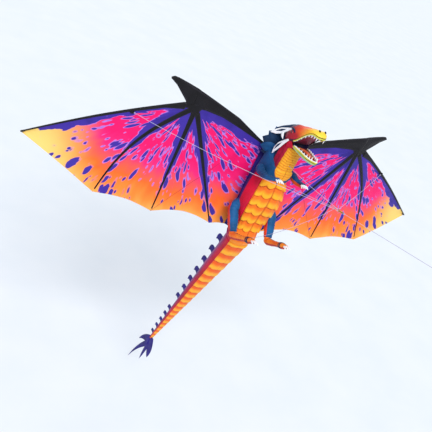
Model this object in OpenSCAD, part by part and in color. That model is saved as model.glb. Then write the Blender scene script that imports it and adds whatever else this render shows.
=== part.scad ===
// Dragon kite with an air-filled body, two framed wings, a jointed tail and a
// five-leg bridle. Millimetres. The origin is the centre of the tow ring, +Z
// runs up the spine to the head, and the belly faces -Y, towards the flyer.
// "Left" is the -X side.

/* [Wings] */
// Distance from the centre plane to a wing tip
half_span = 966; // [940:1:1000]
// Distance of the wing plane behind the tow ring
wing_plane = 513; // [505:1:520]
// How far a wing tip lies behind the wing plane
tip_sweep = 105; // [60:5:130]
// How far the outer trailing edge bows forward
edge_bow = 36; // [0:1:45]
// Thickness of the sail cloth as modelled
sail_t = 1.2; // [1:0.1:2]
// Radius of the leading-edge spars
spar_r = 2.5; // [2:0.1:3]
// Radius of the battens and struts
batten_r = 1.5; // [1:0.1:1.8]

/* [Body] */
// Thickness of the body cloth as modelled
cloth_t = 2; // [1.5:0.1:3]
// Radius of the spine rod
spine_r = 3; // [2:0.1:4]
// Half angle of the quilted belly, seen from above
belly_angle = 54; // [48:1:58]
// Angle where a flank ends and the back begins
flank_angle = 108; // [100:1:116]

/* [Tail] */
// Radius of the tail where it leaves the body
tail_r = 53; // [48:1:54]
// Radius of the tail at its fan
tail_end_r = 8; // [7:1:12]
// Depth of the tail behind its middle, as a share of its radius
tail_ridge = 1.35; // [1:0.05:1.4]
// Thickness of a fin or the fan
fin_t = 3; // [2:0.5:5]

/* [Lines] */
// Diameter of the bridle and flying lines
line_d = 1.6; // [1.5:0.1:2]
// Radius of the tow ring, to the middle of its wire
ring_r = 8; // [8:0.5:10]
// Radius of the tow ring's wire
ring_wire = 1; // [0.8:0.1:1.1]

/* [Hidden] */

// Wing outline: x from the centre plane, z along the spine
knuckle_x = 405;
root_x = 46;
notch = [444, 48];
wing_tip = [half_span, -260];
edge_points = [[root_x, -437], [129, -445], [408, -437], [663, -405], [half_span, -264]];
edge_rise = [4, 28, 18, 6];
inner_top = [[root_x, -34], [87, -16], [210, 44], [343, 88], [420, 112]];
inner_bottom = [[root_x, -42], [89, -28], [191, 4], [279, 29], [365, 39], [420, 30]];
horn_top = [[420, 112], [459, 120], [500, 127], [518, 128], [528, 121]];
horn_bottom = [[420, 30], [440, 24], [446, 50], [499, 98], [528, 115]];
leading_bow = 13;
sleeve_t = 7;
horn_t = 8;
pocket_t = 1.5;
batten_gap = 0.9;
knuckle = [400, 42];
batten_tips = [[661, -400], [407, -433], [131, -441]];
batten_bow = [38, 0, 0];
pocket_start = 17;
pocket_end = 4;
strut_ends = [[92, -14], [396, -420]];
strut_y = wing_plane + 6.6;
tab_x = 618;
tab_size = [14, 6, 18];

// Body stations: z, front y, half width, back y
body_stations = [
    [-126, 392, 60, 508], [-160, 384, 70, 512], [-210, 380, 77, 512],
    [-260, 384, 78, 512], [-310, 395, 73, 511], [-360, 404, 66, 510],
    [-400, 406, 60, 509], [-432, 402, 55, 508]
];
body_rows = 13;
body_power = 0.8;
yoke_top = [-102, 373, 44, 462];
neck_bottom = -87;
neck_middle_y = 416;
neck_depth = 46;
neck_top = 52;

// Head stations along y: y, bottom z, top z, half width
skull_stations = [
    [462, 58, 92, 30], [440, 50, 106, 40], [405, 50, 120, 45], [372, 58, 131, 43],
    [340, 88, 144, 37], [305, 122, 155, 30], [275, 143, 159, 24], [256, 149, 156, 15]
];
jaw_stations = [
    [356, 25, 50, 34], [330, 26, 54, 33], [295, 30, 54, 29], [262, 35, 54, 23],
    [240, 39, 53, 14], [234, 43, 51, 8]
];
upper_tooth_y = [348, 332, 316, 300, 285, 270];
lower_tooth_y = [336, 316, 296, 276, 257];
mane_centre = [0, -12];
mane_r = 86;
mane_y = [456, 486];
mane_lobes = 7;

// Limb joints and ends, on the +X side
shoulder = [76, 428, -104];
elbow = [83, 352, -102];
hand = [60, 302, -80];
hip = [93, 450, -314];
knee = [87, 378, -402];
ankle = [80, 268, -348];
toes = [78, 236, -332];
joint_room = 16;

// Tail axis
tail_start = [0, 455, -440];
tail_tip = [0, 750, -1335];
tail_cuts = [0, 0.36, 0.7, 1];
cut_room = [18, 6.5, 4.5];
// Fins on each part of the tail: how many, where the first starts, and their step,
// as shares of the tail
fin_count = [3, 4, 5];
fin_first = [0.128, 0.384, 0.722];
fin_step = [0.085, 0.076, 0.0575];
fin_height = 50;
// How far a fin is sewn into the ridge
fin_foot = 3;
fin_length = 52;

// Lines: points of each route, chosen by hand
line_direction = [0, -0.97, 0.243];
side_leg = [
    [9, 5, -1], [115, 103, -20], [235, 208, -35], [350, 310, -46], [480, 425, -52],
    [560, 496, -54], [610, 540, -53]
];
neck_leg = [[3, 9.5, 0], [2, 90, -11], [1, 180, -23], [0, 270, -33], [0, 368, -41]];
chest_leg = [[0, 10, 0], [0, 100, -31], [0, 200, -65], [0, 300, -99], [0, 391, -129]];
belly_leg = [
    [-3, 9.5, -1], [-2, 60, -70], [-1, 140, -165], [0, 220, -255], [0, 310, -345],
    [0, 403, -429]
];
line_start = 41.5;
line_end = 505;
knot_r = 3;

// Blend from a to b
function mix(a, b, t) = a + (b - a) * t;
// Unit vector along v
function unit(v) = v / norm(v);
// Power that keeps its sign
function keep_sign(v, p) = sign(v) * pow(abs(v), p);
// Point on a rounded section: half sizes w and d, angle 0 towards the front
function section(w, d, angle) =
    [w * keep_sign(sin(angle), body_power), -d * keep_sign(cos(angle), body_power)];
// Point on the other side of the centre plane when side is -1
function on_side(p, side) = [p[0] * side, p[1], p[2]];

// Triangles of a grid; wrap joins the last column to the first
function grid_faces(rows, cols, first, wrap, flip) = [
    for (r = [0:rows - 2])
    for (c = [0:cols - (wrap ? 1 : 2)])
    let (a = first + r * cols + c,
         b = first + r * cols + (c + 1) % cols,
         d = a + cols,
         e = b + cols)
    each flip ? [[a, b, d], [b, e, d]] : [[a, d, b], [b, d, e]]
];
// Triangles that join two open rows of points into a wall
function wall_faces(row_a, row_b, flip) = [
    for (i = [0:len(row_a) - 2])
    let (a = row_a[i], b = row_a[i + 1], c = row_b[i], d = row_b[i + 1])
    each flip ? [[a, c, b], [b, c, d]] : [[a, b, c], [b, d, c]]
];

// Closed sheet between two grids of the same size
module sheet(front, back) {
    rows = len(front);
    cols = len(front[0]);
    n = rows * cols;
    across = cross(front[0][1] - front[0][0], front[1][0] - front[0][0]);
    flip = across * (front[0][0] - back[0][0]) < 0;
    top = [for (c = [0:cols - 1]) c];
    bottom = [for (c = [0:cols - 1]) (rows - 1) * cols + c];
    first = [for (r = [0:rows - 1]) r * cols];
    last = [for (r = [0:rows - 1]) r * cols + cols - 1];
    polyhedron(
        points = concat([for (row = front) each row], [for (row = back) each row]),
        faces = concat(
            grid_faces(rows, cols, 0, false, flip),
            grid_faces(rows, cols, n, false, !flip),
            wall_faces(top, [for (i = top) i + n], flip),
            wall_faces(bottom, [for (i = bottom) i + n], !flip),
            wall_faces(first, [for (i = first) i + n], !flip),
            wall_faces(last, [for (i = last) i + n], flip)
        )
    );
}

// True when the rings of a loft turn the other way round its direction
function turns_back(rings) =
    let (middle = average(rings[0]), next = average(rings[1]))
    cross(rings[0][0] - middle, rings[0][1] - middle) * (next - middle) < 0;
function average(points, i = 0, total = [0, 0, 0]) =
    i == len(points) ? total / len(points) : average(points, i + 1, total + points[i]);

// Solid through a row of rings, closed at both ends
module loft(rings) {
    sides = len(rings[0]);
    last = len(rings) - 1;
    flip = turns_back(rings);
    points = concat([for (ring = rings) each ring], [average(rings[0]), average(rings[last])]);
    start = len(rings) * sides;
    polyhedron(
        points = points,
        faces = concat(
            grid_faces(len(rings), sides, 0, true, flip),
            [for (i = [0:sides - 1]) let (j = (i + 1) % sides)
                flip ? [start, j, i] : [start, i, j]],
            [for (i = [0:sides - 1]) let (j = (i + 1) % sides, k = last * sides)
                flip ? [start + 1, k + i, k + j] : [start + 1, k + j, k + i]]
        )
    );
}

// Open tube with a wall between outer and inner rings
module tube(outer, inner) {
    sides = len(outer[0]);
    rows = len(outer);
    n = rows * sides;
    flip = turns_back(outer);
    loop = [for (i = [0:sides]) i % sides];
    far = (rows - 1) * sides;
    polyhedron(
        points = concat([for (ring = outer) each ring], [for (ring = inner) each ring]),
        faces = concat(
            grid_faces(rows, sides, 0, true, flip),
            grid_faces(rows, sides, n, true, !flip),
            wall_faces(loop, [for (i = loop) i + n], flip),
            wall_faces([for (i = loop) i + far], [for (i = loop) i + far + n], !flip)
        )
    );
}

// Rings square to a route, with a radius at each point
function route_rings(route, radii, sides, up) = [
    for (i = [0:len(route) - 1])
    let (ahead = unit(route[min(i + 1, len(route) - 1)] - route[max(i - 1, 0)]),
         side = unit(cross(ahead, up)),
         rise = cross(side, ahead))
    [for (k = [0:sides - 1])
        route[i] + radii[i] * (cos(360 * k / sides) * side + sin(360 * k / sides) * rise)]
];
module rod(route, radius, sides = 8, up = [0, 0, 1]) {
    loft(route_rings(route, [for (p = route) radius], sides, up));
}
module spindle(route, radii, sides = 12, up = [1, 0, 0]) {
    loft(route_rings(route, radii, sides, up));
}

// Wing surface: y at a point x, with v running from the leading to the trailing edge
function wing_y(x, v = 0) =
    let (out = max(0, x - knuckle_x) / (half_span - knuckle_x))
    wing_plane + tip_sweep * out - edge_bow * sin(180 * out) * v * v;
function leading_t(x) = (x - notch[0]) / (wing_tip[0] - notch[0]);
function leading_top(x) =
    mix(notch[1], wing_tip[1], leading_t(x)) + leading_bow * sin(180 * leading_t(x));
function sleeve_width(x) =
    mix(15, 4, leading_t(x)) + 14 * max(0, 1 - 8 * leading_t(x));
function sail_top(x) =
    x < notch[0] ? lookup(x, inner_bottom) : leading_top(x) - sleeve_width(x);
function edge_part(x) = x < 129 ? 0 : x < 408 ? 1 : x < 663 ? 2 : 3;
function sail_bottom(x) =
    let (i = edge_part(x), a = edge_points[i], b = edge_points[i + 1],
         t = (x - a[0]) / (b[0] - a[0]))
    mix(a[1], b[1], t) + edge_rise[i] * sin(180 * t);
function sail_point(x, v, side, off) =
    [side * x, wing_y(x, v) + off, mix(sail_top(x), sail_bottom(x), v)];
sail_columns = concat(
    [root_x, 88, 129, 175, 222, 268, 315, 362, 385, 408, 444],
    [for (i = [1:5]) mix(444, 663, i / 5)],
    [for (i = [1:7]) mix(663, half_span - 3, i / 7)]
);
sail_rows = 6;
module sail(side) {
    color("mediumvioletred")
    sheet(
        [for (k = [0:sail_rows]) [for (x = sail_columns)
            sail_point(x, k / sail_rows, side, -sail_t / 2)]],
        [for (k = [0:sail_rows]) [for (x = sail_columns)
            sail_point(x, k / sail_rows, side, sail_t / 2)]]
    );
}

// Flat sleeve between an upper and a lower outline, as wide as t
module band(columns, tops, bottoms, t, side) {
    sheet(
        [for (edge = [tops, bottoms]) [for (i = [0:len(columns) - 1])
            [side * columns[i], wing_y(columns[i]) - t / 2, edge[i]]]],
        [for (edge = [tops, bottoms]) [for (i = [0:len(columns) - 1])
            [side * columns[i], wing_y(columns[i]) + t / 2, edge[i]]]]
    );
}
module inner_sleeve(side) {
    columns = [root_x, 87, 150, 210, 279, 343, 380, 405, 419.8];
    color("#18161c")
    band(columns, [for (x = columns) lookup(x, inner_top)],
        [for (x = columns) lookup(x, inner_bottom)], sleeve_t, side);
}
module wrist_horn(side) {
    columns = [420, 440, 446, 459, 480, 499, 510, 518, 528];
    color("#121015")
    band(columns, [for (x = columns) lookup(x, horn_top)],
        [for (x = columns) lookup(x, horn_bottom)], horn_t, side);
}
module outer_sleeve(side) {
    columns = [for (i = [0:12]) mix(446.5, half_span, i / 12)];
    color("#18161c")
    band(columns, [for (x = columns) leading_top(x)],
        [for (x = columns) leading_top(x) - sleeve_width(x)], sleeve_t, side);
}

// Middle line of a batten: t runs from the knuckle to the trailing edge
function batten_xz(i, t) =
    let (tip = batten_tips[i], along = tip - knuckle, out = unit([-along[1], along[0]]))
    mix(knuckle, tip, t) + out * batten_bow[i] * sin(180 * t);
function on_sail(xz) =
    let (x = xz[0], v = (sail_top(x) - xz[1]) / (sail_top(x) - sail_bottom(x)))
    wing_y(x, max(0, min(1, v)));
function batten_point(i, t, side, off) =
    let (p = batten_xz(i, t)) [side * p[0], on_sail(p) + off, p[1]];
module battens(side) {
    off = sail_t / 2 + batten_gap + batten_r;
    color("dimgray")
    for (i = [0:2])
        rod([for (k = [0:9]) batten_point(i, mix(0.07, 1, k / 9), side, off)],
            batten_r, 8, [0, 1, 0]);
}
module batten_pockets(side) {
    steps = 9;
    color("#201c2a")
    for (i = [0:2]) {
        edges = [for (k = [0:steps])
            let (t = mix(0.06, 0.97, k / steps),
                 along = batten_xz(i, t + 0.01) - batten_xz(i, t - 0.01),
                 out = unit([-along[1], along[0]]) * mix(pocket_start, pocket_end, pow(t, 0.6)) / 2)
            [batten_xz(i, t) - out, batten_xz(i, t) + out]];
        sheet(
            [for (e = [0, 1]) [for (p = edges)
                [side * p[e][0], on_sail(p[e]) - sail_t / 2 - pocket_t, p[e][1]]]],
            [for (e = [0, 1]) [for (p = edges)
                [side * p[e][0], on_sail(p[e]) - sail_t / 2, p[e][1]]]]
        );
    }
}
module leading_spars(side) {
    inner = [[root_x + 5, -37], [150, 4], [280, 54], [398, 94]];
    outer = [for (i = [0:8]) mix(440, half_span - 2, i / 8)];
    color("darkslategray") {
        rod([for (p = inner) [side * p[0], wing_plane, p[1]]], spar_r, 8, [0, 1, 0]);
        rod([for (x = outer) [side * x, wing_y(x), leading_top(x) - mix(7, 3, leading_t(x))]],
            spar_r * 0.8, 8, [0, 1, 0]);
    }
}
module strut(side) {
    color("dimgray")
    rod([for (p = strut_ends) [side * p[0], strut_y, p[1]]], batten_r, 8, [0, 1, 0]);
}
module tip_caps(side) {
    off = sail_t / 2 + batten_gap + batten_r;
    color("black") {
        for (i = [0:2])
            rod([for (t = [0.975, 1.01]) batten_point(i, t, side, off)], 3, 8, [0, 1, 0]);
        rod([for (x = [half_span - 12, half_span + 1])
            [side * x, wing_y(x), leading_top(min(x, half_span)) - 3]], 3.4, 8, [0, 1, 0]);
    }
}
module bridle_tab(side) {
    color("#2a2a2e")
    translate([side * tab_x, wing_y(tab_x) - sleeve_t / 2 - tab_size[1] / 2 + 0.5, -52])
    cube(tab_size, center = true);
}

// Frame
module spine_rod() {
    color("dimgray")
    translate([0, 500, -428])
    cylinder(h = 355, r = spine_r, $fn = 32);
}
module centre_hub() {
    color("#26262b")
    difference() {
        union() {
            translate([0, 500, -98])
            cylinder(h = 54, r = 7, $fn = 32);
            translate([-12, 500, -62])
            cube([24, 20, 20]);
            translate([-40, 514, -52])
            rotate([0, 90, 0])
            cylinder(h = 80, r = 6, $fn = 32);
        }
        translate([0, 500, -99])
        cylinder(h = 30, r = spine_r + 0.05, $fn = 32);
    }
}

// Body
function station(z, k) =
    lookup(z, [for (s = body_stations) [s[0], s[k]]]);
function body_z(row) = mix(body_stations[0][0], body_stations[7][0], row / body_rows);
function body_point(z, angle, wall) =
    let (front = station(z, 1), back = station(z, 3),
         p = section(station(z, 2) - wall, (back - front) / 2 - wall, angle))
    [p[0], (front + back) / 2 + p[1], z];
module body_sector(from, to, columns) {
    sheet(
        [for (r = [0:body_rows]) [for (c = [0:columns])
            body_point(body_z(r), mix(from, to, c / columns), 0)]],
        [for (r = [0:body_rows]) [for (c = [0:columns])
            body_point(body_z(r), mix(from, to, c / columns), cloth_t)]]
    );
}
module belly_panel() {
    color("orange")
    body_sector(-belly_angle, belly_angle, 10);
}
module flank(side) {
    color("crimson")
    body_sector(side * belly_angle, side * flank_angle, 5);
}
module back_panel() {
    color("indigo")
    body_sector(flank_angle, 360 - flank_angle, 12);
}
function yoke_ring(t, wall) =
    let (z = mix(body_stations[0][0], yoke_top[0], t),
         front = mix(body_stations[0][1], yoke_top[1], t),
         back = mix(body_stations[0][3], yoke_top[3], t),
         w = mix(body_stations[0][2], yoke_top[2], t))
    [for (k = [0:23])
        let (p = section(w - wall, (back - front) / 2 - wall, k * 15))
        [p[0], (front + back) / 2 + p[1], z]];
module yoke() {
    color("#0d4f80")
    tube([for (t = [0, 0.5, 1]) yoke_ring(t, 0)], [for (t = [0, 0.5, 1]) yoke_ring(t, cloth_t)]);
}

// Neck and head
function neck_ring(t, wall) =
    [for (k = [0:23])
        let (p = section(mix(42, 36, t) - wall, neck_depth - wall, k * 15),
             lean = mix(0, 0.46, t))
        [p[0], neck_middle_y + p[1], mix(neck_bottom, neck_top, t) + lean * p[1]]];
module neck() {
    color("darkorange")
    tube([for (k = [0:5]) neck_ring(k / 5, 0)], [for (k = [0:5]) neck_ring(k / 5, cloth_t)]);
}
function head_ring(s) =
    [for (k = [0:19])
        [s[3] * keep_sign(cos(k * 18), 0.9), s[0],
         (s[1] + s[2]) / 2 + (s[2] - s[1]) / 2 * keep_sign(sin(k * 18), 0.9)]];
module skull() {
    color("orangered")
    loft([for (s = skull_stations) head_ring(s)]);
}
module lower_jaw() {
    color("gold")
    loft([for (s = jaw_stations) head_ring(s)]);
}
function station_at(stations, y, k) = lookup(y, [for (s = stations) [s[0], s[k]]]);
module tooth(p, up, h) {
    translate(p)
    rotate([up ? 0 : 180, 0, 0])
    cylinder(h = h, r1 = 3, r2 = 0.6, $fn = 16);
}
module upper_teeth() {
    color("white")
    for (y = upper_tooth_y)
        for (side = [-1, 1]) {
            bottom = station_at(skull_stations, y, 1);
            wide = station_at(skull_stations, y, 3);
            tooth([side * (wide - 8), y, bottom + 8], false, 20);
        }
}
module lower_teeth() {
    color("white")
    for (y = lower_tooth_y)
        for (side = [-1, 1]) {
            top = station_at(jaw_stations, y, 2);
            wide = station_at(jaw_stations, y, 3);
            tooth([side * (wide - 7), y, top - 8], true, 17);
        }
}
module horns() {
    color("whitesmoke")
    for (side = [-1, 1]) {
        spindle([for (p = [[34, 412, 92], [44, 440, 78], [51, 475, 55], [56, 515, 24]])
            on_side(p, side)], [9, 10, 7, 1.2], 10);
        spindle([for (p = [[40, 402, 54], [47, 415, 30], [52, 428, 2], [55, 440, -26]])
            on_side(p, side)], [8, 9, 7, 1.2], 10);
    }
}
module mane() {
    start = -42;
    sweep = 264;
    steps = mane_lobes * 6;
    outline = [for (k = [0:steps])
        let (angle = start + sweep * k / steps,
             r = mane_r * mix(0.84, 1, pow(abs(sin(180 * mane_lobes * k / steps)), 0.7)))
        [mane_centre[0] + r * cos(angle), mane_centre[1] + r * sin(angle)]];
    color("#0b3a66")
    translate([0, mane_y[1], 0])
    rotate([90, 0, 0])
    linear_extrude(mane_y[1] - mane_y[0])
    polygon(outline);
}

// Limbs
module arm(side) {
    color("#0f5f95")
    spindle([for (p = [shoulder, mix(shoulder, elbow, 0.5), elbow, hand]) on_side(p, side)],
        [11, 13, 12, 9], 12);
}
module claws(from, to, spread, side) {
    ahead = unit(to - from);
    for (k = [-1:1]) {
        p = from + [k * spread, 0, 0];
        spindle([for (t = [0, 0.5, 1]) on_side(p + ahead * t * norm(to - from)
            + [k * 2 * t, 0, -3 * t * t], side)], [3.2, 2.6, 0.6], 8);
    }
}
module hand_claws(side) {
    color("white")
    claws(hand, hand + [-4, -24, 4], 6, side);
}
module thigh(side) {
    ahead = unit(knee - hip);
    end = knee - ahead * joint_room;
    color("#10639c")
    spindle([for (t = [0, 0.35, 0.75, 1]) on_side(mix(hip, end, t), side)],
        [11, 15, 14, 11], 12);
}
module shin(side) {
    start = knee + unit(ankle - knee) * joint_room;
    color("orangered")
    spindle([for (p = [start, mix(start, ankle, 0.4), ankle, mix(ankle, toes, 0.5), toes])
        on_side(p, side)], [9, 11, 9, 12, 8], 12);
}
module foot_claws(side) {
    color("white")
    claws(toes, toes + [-2, -22, 8], 7, side);
}

// Tail
tail_way = unit(tail_tip - tail_start);
tail_length = norm(tail_tip - tail_start);
tail_back = [0, -tail_way[2], tail_way[1]];
tail_front_depth = 0.9;
ridge_power = 1.5;
ridge_taper = (tail_r - tail_end_r) / tail_length * tail_ridge;
function tail_radius(t) = mix(tail_r, tail_end_r, t);
// Point on the tail's section: rounded in front, narrowing to a ridge behind
function tail_section(r, angle) =
    let (behind = cos(angle) < 0, power = behind ? ridge_power : body_power)
    [r * keep_sign(sin(angle), power),
        -r * (behind ? tail_ridge : tail_front_depth) * keep_sign(cos(angle), power)];
function tail_ring(t, wall, shift = 0) =
    let (middle = mix(tail_start, tail_tip, t) + tail_way * shift)
    [for (k = [0:19])
        let (p = tail_section(tail_radius(t) - wall, k * 18))
        middle + [p[0], 0, 0] + tail_back * p[1]];
module tail_part(i) {
    low = tail_cuts[i] + cut_room[i] / tail_length;
    high = tail_cuts[i + 1] - (i < 2 ? cut_room[i + 1] / tail_length : 0);
    rows = 6;
    color("orange")
    tube([for (k = [0:rows]) tail_ring(mix(low, high, k / rows), 0)],
        [for (k = [0:rows]) tail_ring(mix(low, high, k / rows), cloth_t)]);
}
// Outline of one hooked fin: x along the tail, y away from it
function fin_outline(l, h) = concat(
    [for (k = [0:7]) [l * (1 - cos(k * 90 / 7)) * 0.95, h * sin(k * 90 / 7)]],
    [[l * 1.08, h * 0.82], [l * 0.86, h * 0.62], [l * 0.74, h * 0.34], [l * 0.7, 0]]
);
module centre_plate(outline, t) {
    translate([-t / 2, 0, 0])
    rotate([90, 0, 90])
    linear_extrude(t)
    polygon(outline);
}
module tail_fins(i) {
    color("midnightblue")
    for (k = [0:fin_count[i] - 1]) {
        t = fin_first[i] + fin_step[i] * k;
        size = mix(1, 0.55, t);
        foot = mix(tail_start, tail_tip, t) + tail_back * (tail_radius(t) * tail_ridge - fin_foot);
        centre_plate([for (p = fin_outline(fin_length * size, fin_height * size))
            let (q = foot + tail_way * p[0] + tail_back * (p[1] - p[0] * ridge_taper))
            [q[1], q[2]]], fin_t);
    }
}
// Blade with two curved edges from a foot a-b to a tip, as y and z
function bend(a, m, b, t) = mix(mix(a, m, t), mix(m, b, t), t);
function blade(a, mid_a, tip, mid_b, b) = concat(
    [for (k = [0:6]) bend(a, mid_a, tip, k / 6)],
    [for (k = [1:6]) bend(tip, mid_b, b, k / 6)]
);
module tail_fan() {
    color("#241060") {
        centre_plate(blade([742, -1318], [840, -1380], [858, -1448], [815, -1400], [756, -1392]), 4);
        centre_plate(blade([752, -1345], [862, -1490], [887, -1610], [836, -1490], [748, -1400]), 4);
        centre_plate(blade([756, -1370], [778, -1440], [767, -1510], [744, -1450], [732, -1380]), 4);
        centre_plate(blade([762, -1338], [752, -1420], [704, -1437], [668, -1370], [720, -1322]), 4);
    }
}

// Tow point
module ring(radius, wire) {
    rotate_extrude($fn = 48)
    translate([radius, 0])
    circle(r = wire, $fn = 20);
}
module tow_ring() {
    color("silver")
    ring(ring_r, ring_wire);
}
module along_line(distance) {
    rotate([90 - atan2(line_direction[2], -line_direction[1]), 0, 0])
    translate([0, 0, distance])
    children();
}
module snap_hook() {
    color("goldenrod")
    difference() {
        union() {
            along_line(9.4)
            rotate([0, 90, 0])
            ring(5, 0.9);
            along_line(14.4)
            cylinder(h = 17.6, r = 3, $fn = 32);
        }
        along_line(20)
        cylinder(h = 8, r = 2.3, $fn = 32);
        along_line(27)
        cylinder(h = 6, r = 1.2, $fn = 32);
    }
}
module swivel_eye() {
    color("silver")
    union() {
        along_line(23)
        cylinder(h = 3, r = 2, $fn = 32);
        along_line(25.5)
        cylinder(h = 10, r = 0.9, $fn = 32);
        along_line(38)
        rotate([0, 90, 0])
        ring(3, 0.8);
    }
}

// Lines
module bridle_side(side) {
    color("white")
    rod([for (p = side_leg) on_side(p, side)], line_d / 2);
}
module bridle_neck() {
    color("white")
    rod(neck_leg, line_d / 2);
}
module bridle_chest() {
    color("white")
    rod(chest_leg, line_d / 2);
}
module bridle_belly() {
    color("white")
    rod(belly_leg, line_d / 2);
}
module flying_line() {
    stops = [line_start, line_start + 4, 150, 260, 370, line_end - 8, line_end - 4, line_end];
    radii = [line_d, line_d / 2, line_d / 2, line_d / 2, line_d / 2, line_d / 2, knot_r, knot_r / 2];
    color("white")
    loft(route_rings([for (s = stops) line_direction * s], radii, 8, [0, 0, 1]));
}

sail(-1);  // sail_left
sail(1);  // sail_right
inner_sleeve(-1);  // inner_sleeve_left
inner_sleeve(1);  // inner_sleeve_right
outer_sleeve(-1);  // outer_sleeve_left
outer_sleeve(1);  // outer_sleeve_right
wrist_horn(-1);  // wrist_horn_left
wrist_horn(1);  // wrist_horn_right
batten_pockets(-1);  // batten_pockets_left
batten_pockets(1);  // batten_pockets_right
battens(-1);  // battens_left
battens(1);  // battens_right
leading_spars(-1);  // leading_spars_left
leading_spars(1);  // leading_spars_right
strut(-1);  // strut_left
strut(1);  // strut_right
tip_caps(-1);  // tip_caps_left
tip_caps(1);  // tip_caps_right
bridle_tab(-1);  // bridle_tab_left
bridle_tab(1);  // bridle_tab_right
spine_rod();
centre_hub();
back_panel();
belly_panel();
flank(-1);  // flank_left
flank(1);  // flank_right
yoke();
neck();
skull();
upper_teeth();
horns();
mane();
lower_jaw();
lower_teeth();
arm(-1);  // arm_left
arm(1);  // arm_right
hand_claws(-1);  // hand_claws_left
hand_claws(1);  // hand_claws_right
thigh(-1);  // thigh_left
thigh(1);  // thigh_right
shin(-1);  // shin_left
shin(1);  // shin_right
foot_claws(-1);  // foot_claws_left
foot_claws(1);  // foot_claws_right
tail_part(0);  // tail_front
tail_part(1);  // tail_mid
tail_part(2);  // tail_rear
tail_fins(0);  // tail_fins_front
tail_fins(1);  // tail_fins_mid
tail_fins(2);  // tail_fins_rear
tail_fan();
tow_ring();
snap_hook();
swivel_eye();
bridle_side(-1);  // bridle_left
bridle_side(1);  // bridle_right
bridle_neck();
bridle_chest();
bridle_belly();
flying_line();
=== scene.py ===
"""Looks of a three-dimensional dragon kite.

Printed wings, a quilted air-filled body, a stuffed head and limbs, and the bridle.
"""
import math

import bmesh
import bpy
import numpy as np
from mathutils import Matrix, Vector


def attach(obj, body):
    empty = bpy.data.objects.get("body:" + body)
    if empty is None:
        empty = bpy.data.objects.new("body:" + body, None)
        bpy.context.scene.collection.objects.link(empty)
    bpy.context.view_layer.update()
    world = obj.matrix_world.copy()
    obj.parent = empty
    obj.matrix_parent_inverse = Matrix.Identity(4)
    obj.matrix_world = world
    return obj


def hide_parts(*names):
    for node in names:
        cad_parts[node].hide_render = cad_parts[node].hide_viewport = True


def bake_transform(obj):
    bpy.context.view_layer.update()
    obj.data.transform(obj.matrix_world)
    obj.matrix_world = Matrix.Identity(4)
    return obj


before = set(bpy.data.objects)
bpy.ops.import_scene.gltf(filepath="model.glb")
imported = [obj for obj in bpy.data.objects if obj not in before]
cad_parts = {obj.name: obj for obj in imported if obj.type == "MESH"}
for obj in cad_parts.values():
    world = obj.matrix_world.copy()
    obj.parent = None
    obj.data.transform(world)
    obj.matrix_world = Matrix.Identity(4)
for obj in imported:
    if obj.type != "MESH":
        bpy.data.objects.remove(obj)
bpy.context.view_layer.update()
SIDES = (("left", -1), ("right", 1))

# ---------------------------------------------------------------- camera and light
CAMERA_PLACE = (-1.442, -1.592, 0.806)
CAMERA_RIGHT = (0.863, -0.320, 0.391)
CAMERA_AHEAD = (0.480, 0.760, -0.438)
FLOOR_Z = -1.75
FLOOR_HALF = 60
THREAD_PITCH = 0.0009


def linear(code):
    """Linear colour from a #rrggbb code."""
    parts = [int(code[i : i + 2], 16) / 255 for i in (1, 3, 5)]
    return tuple(c / 12.92 if c <= 0.04045 else ((c + 0.055) / 1.055) ** 2.4 for c in parts) + (1.0,)


def make_camera():
    data = bpy.data.cameras.new("camera")
    data.lens, data.sensor_width = 54.17, 36
    data.clip_end = 200
    cam = bpy.data.objects.new("camera", data)
    bpy.context.scene.collection.objects.link(cam)
    back = -Vector(CAMERA_AHEAD).normalized()
    up = back.cross(Vector(CAMERA_RIGHT)).normalized()
    right = up.cross(back)
    turn = Matrix((right, up, back)).transposed().to_4x4()
    cam.matrix_world = Matrix.Translation(CAMERA_PLACE) @ turn
    bpy.context.scene.camera = cam


def soft_light(name, source, strength, angle, colour=(1, 1, 1)):
    """Even light from a direction. A wide angle gives soft shadows."""
    data = bpy.data.lights.new(name, "SUN")
    data.energy, data.angle, data.color = strength, math.radians(angle), colour
    lamp = bpy.data.objects.new(name, data)
    bpy.context.scene.collection.objects.link(lamp)
    lamp.rotation_euler = (-Vector(source)).to_track_quat("-Z", "Y").to_euler()


make_camera()
soft_light("key", (-0.25, -1.0, 0.95), 2.3, 28, (1.0, 0.97, 0.93))
soft_light("fill", (-1.0, -0.25, 0.35), 0.45, 90, (0.94, 0.97, 1.0))
soft_light("back", (0.3, 1.0, 0.9), 0.9, 60)
world = bpy.data.worlds.new("studio")
bpy.context.scene.world = world
world.use_nodes = True
world.node_tree.nodes["Background"].inputs["Color"].default_value = (0.86, 0.92, 1.0, 1)
world.node_tree.nodes["Background"].inputs["Strength"].default_value = 0.5
bpy.context.scene.view_settings.view_transform = "Standard"


# ---------------------------------------------------------------- shader expressions
class Num:
    """A number inside a material, with arithmetic."""

    def __init__(self, paint, socket):
        self.paint, self.socket = paint, socket

    def op(self, name, *others, swap=False):
        args = [self, *others]
        return self.paint.math(name, *(args[::-1] if swap else args))

    def __add__(self, o):
        return self.op("ADD", o)

    __radd__ = __add__

    def __mul__(self, o):
        return self.op("MULTIPLY", o)

    __rmul__ = __mul__

    def __sub__(self, o):
        return self.op("SUBTRACT", o)

    def __rsub__(self, o):
        return self.op("SUBTRACT", o, swap=True)

    def __truediv__(self, o):
        return self.op("DIVIDE", o)

    def __abs__(self):
        return self.op("ABSOLUTE")

    def __neg__(self):
        return self * -1.0


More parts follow.
